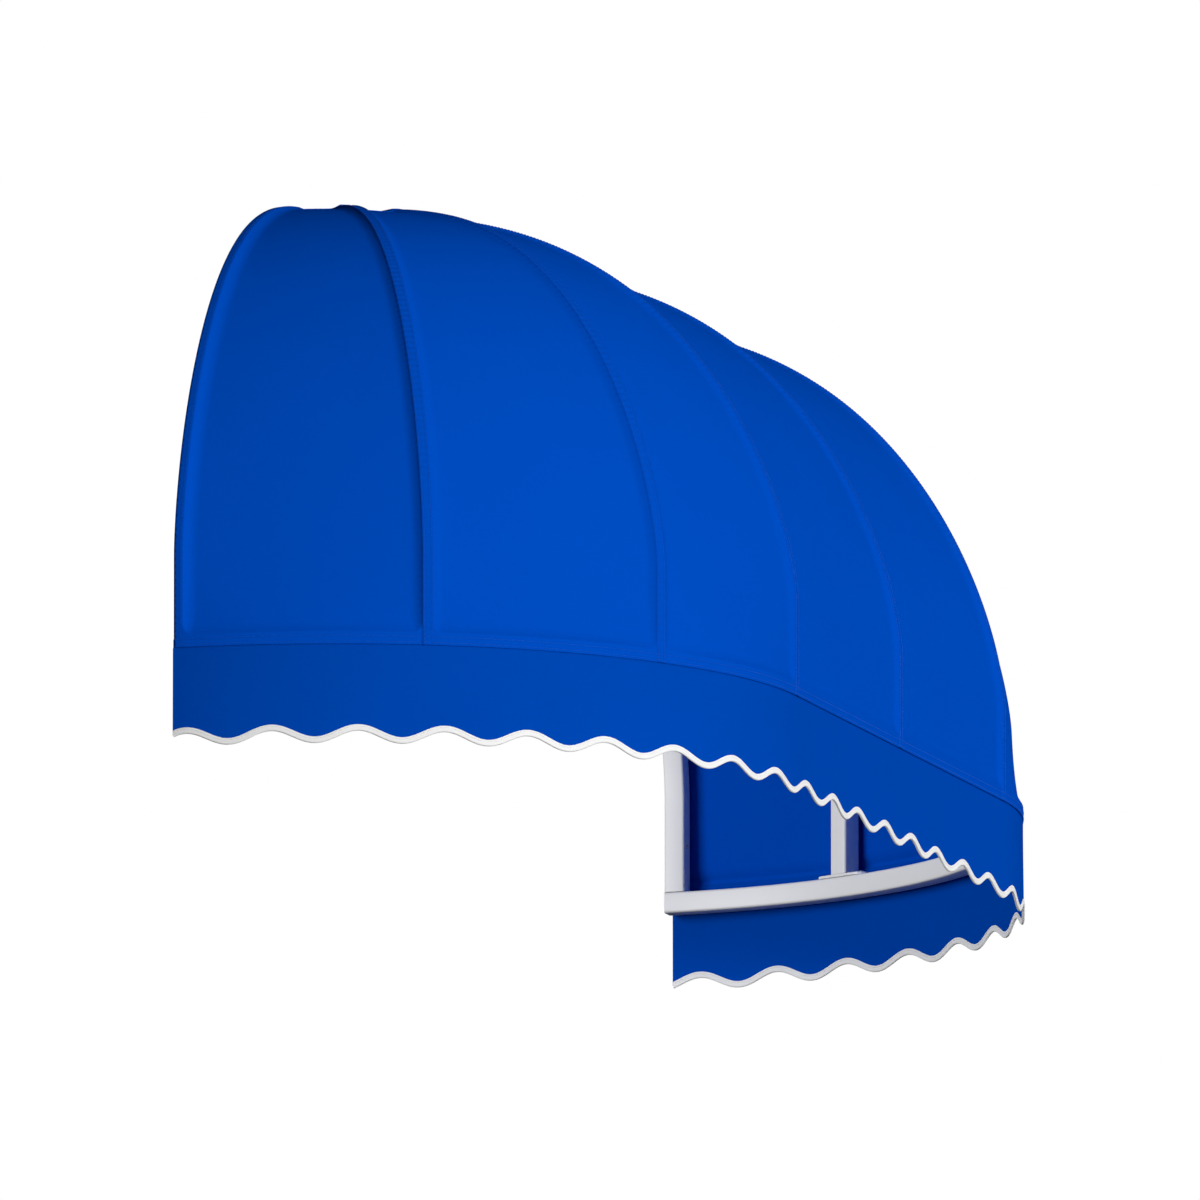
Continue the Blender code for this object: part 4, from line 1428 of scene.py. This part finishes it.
def studio_sky(stage):
    """A white surround for the camera, with a dim soft light that fades below."""
    world = bpy.data.worlds.new("studio")
    bpy.context.scene.world = world
    world.use_nodes = True
    tree = world.node_tree
    tree.nodes.clear()
    white = (1.0, 1.0, 1.0, 1.0)
    up = add_node(tree, "SeparateXYZ", {"Vector": add_node(tree, "TexCoord").outputs["Generated"]})
    level = add_node(tree, "MapRange", {"Value": up.outputs["Z"], "From Min": -1.0, "From Max": 0.6,
                                        "To Min": 0.25 * stage.sky, "To Max": stage.sky})
    dim = add_node(tree, "Background", {"Color": white, "Strength": level.outputs["Result"]})
    plain = add_node(tree, "Background", {"Color": white, "Strength": 1.0})
    seen = add_node(tree, "LightPath").outputs["Is Camera Ray"]
    both = add_node(tree, "MixShader", {0: seen, 1: dim.outputs[0], 2: plain.outputs[0]})
    add_node(tree, "OutputWorld", {"Surface": both.outputs[0]})


class AWNING_OT_stage(bpy.types.Operator):
    """Set the floor, the lights and the camera"""
    bl_idname = "awning.stage"
    bl_label = "Stage"

    def execute(self, context):
        scene = context.scene
        stage = scene.awning_stage
        if scene.camera is not None:
            raise RuntimeError("The scene already has a camera")
        pale_floor(stage)
        studio_sky(stage)
        add_sun("key_light", stage.key, 16.0, -36.0, 2.0)
        add_sun("side_fill", stage.fill, 40.0, 62.0, 20.0)
        add_glow("cover_glow", stage.glow)

        lens = bpy.data.cameras.new("camera")
        lens.lens = stage.lens
        lens.sensor_width = SENSOR
        distance = stage.view_width * stage.lens / SENSOR
        lens.clip_end = 4 * distance
        back = towards(stage.azimuth, stage.elevation)
        turn = (-back).to_track_quat("-Z", "Y")
        middle = (CAD_BOX[0] + CAD_BOX[1]) / 2
        aim = middle + turn @ Vector((stage.aim_right, stage.aim_up, 0.0))
        scene.camera = put_aimed("camera", lens, aim + back * distance, -back)
        scene.view_settings.view_transform = "Standard"
        return {"FINISHED"}


# Add-on ----------------------------------------------------------------------------

class AWNING_PT_panel(bpy.types.Panel):
    """Lists the awning's properties and operators in the 3D view's sidebar"""
    bl_idname = "AWNING_PT_panel"
    bl_label = "Window Awning"
    bl_space_type = "VIEW_3D"
    bl_region_type = "UI"
    bl_category = "Awning"

    def draw(self, context):
        layout = self.layout
        for key, group in GROUPS.items():
            box = layout.box()
            settings = getattr(context.scene, key)
            for name in group.__annotations__:
                box.prop(settings, name)
        for operator in OPERATORS:
            layout.operator(operator.bl_idname)


GROUPS = {
    "awning_form": AwningForm,
    "awning_tubes": AwningTubes,
    "awning_canvas": AwningCanvas,
    "awning_trim": AwningTrim,
    "awning_stage": AwningStage,
}
OPERATORS = (AWNING_OT_stage, AWNING_OT_bows, AWNING_OT_header, AWNING_OT_wall_arches,
             AWNING_OT_ribs, AWNING_OT_plates, AWNING_OT_screws, AWNING_OT_gores,
             AWNING_OT_crown, AWNING_OT_binding, AWNING_OT_valance,
             AWNING_OT_cover_stitching, AWNING_OT_trim_stitching)
CLASSES = (*GROUPS.values(), *OPERATORS, AWNING_PT_panel)


def register():
    for item in CLASSES:
        bpy.utils.register_class(item)
    for key, group in GROUPS.items():
        setattr(bpy.types.Scene, key, bpy.props.PointerProperty(type=group))


def unregister():
    for key in GROUPS:
        delattr(bpy.types.Scene, key)
    for item in reversed(CLASSES):
        bpy.utils.unregister_class(item)


def main():
    register()
    bpy.ops.awning.stage()
    bpy.ops.awning.bows()
    bpy.ops.awning.header()
    bpy.ops.awning.wall_arches()
    bpy.ops.awning.ribs()
    bpy.ops.awning.plates()
    bpy.ops.awning.screws()
    bpy.ops.awning.gores()
    bpy.ops.awning.crown()
    bpy.ops.awning.binding()
    bpy.ops.awning.valance()
    bpy.ops.awning.cover_stitching()
    bpy.ops.awning.trim_stitching()


if __name__ == "__main__":
    main()
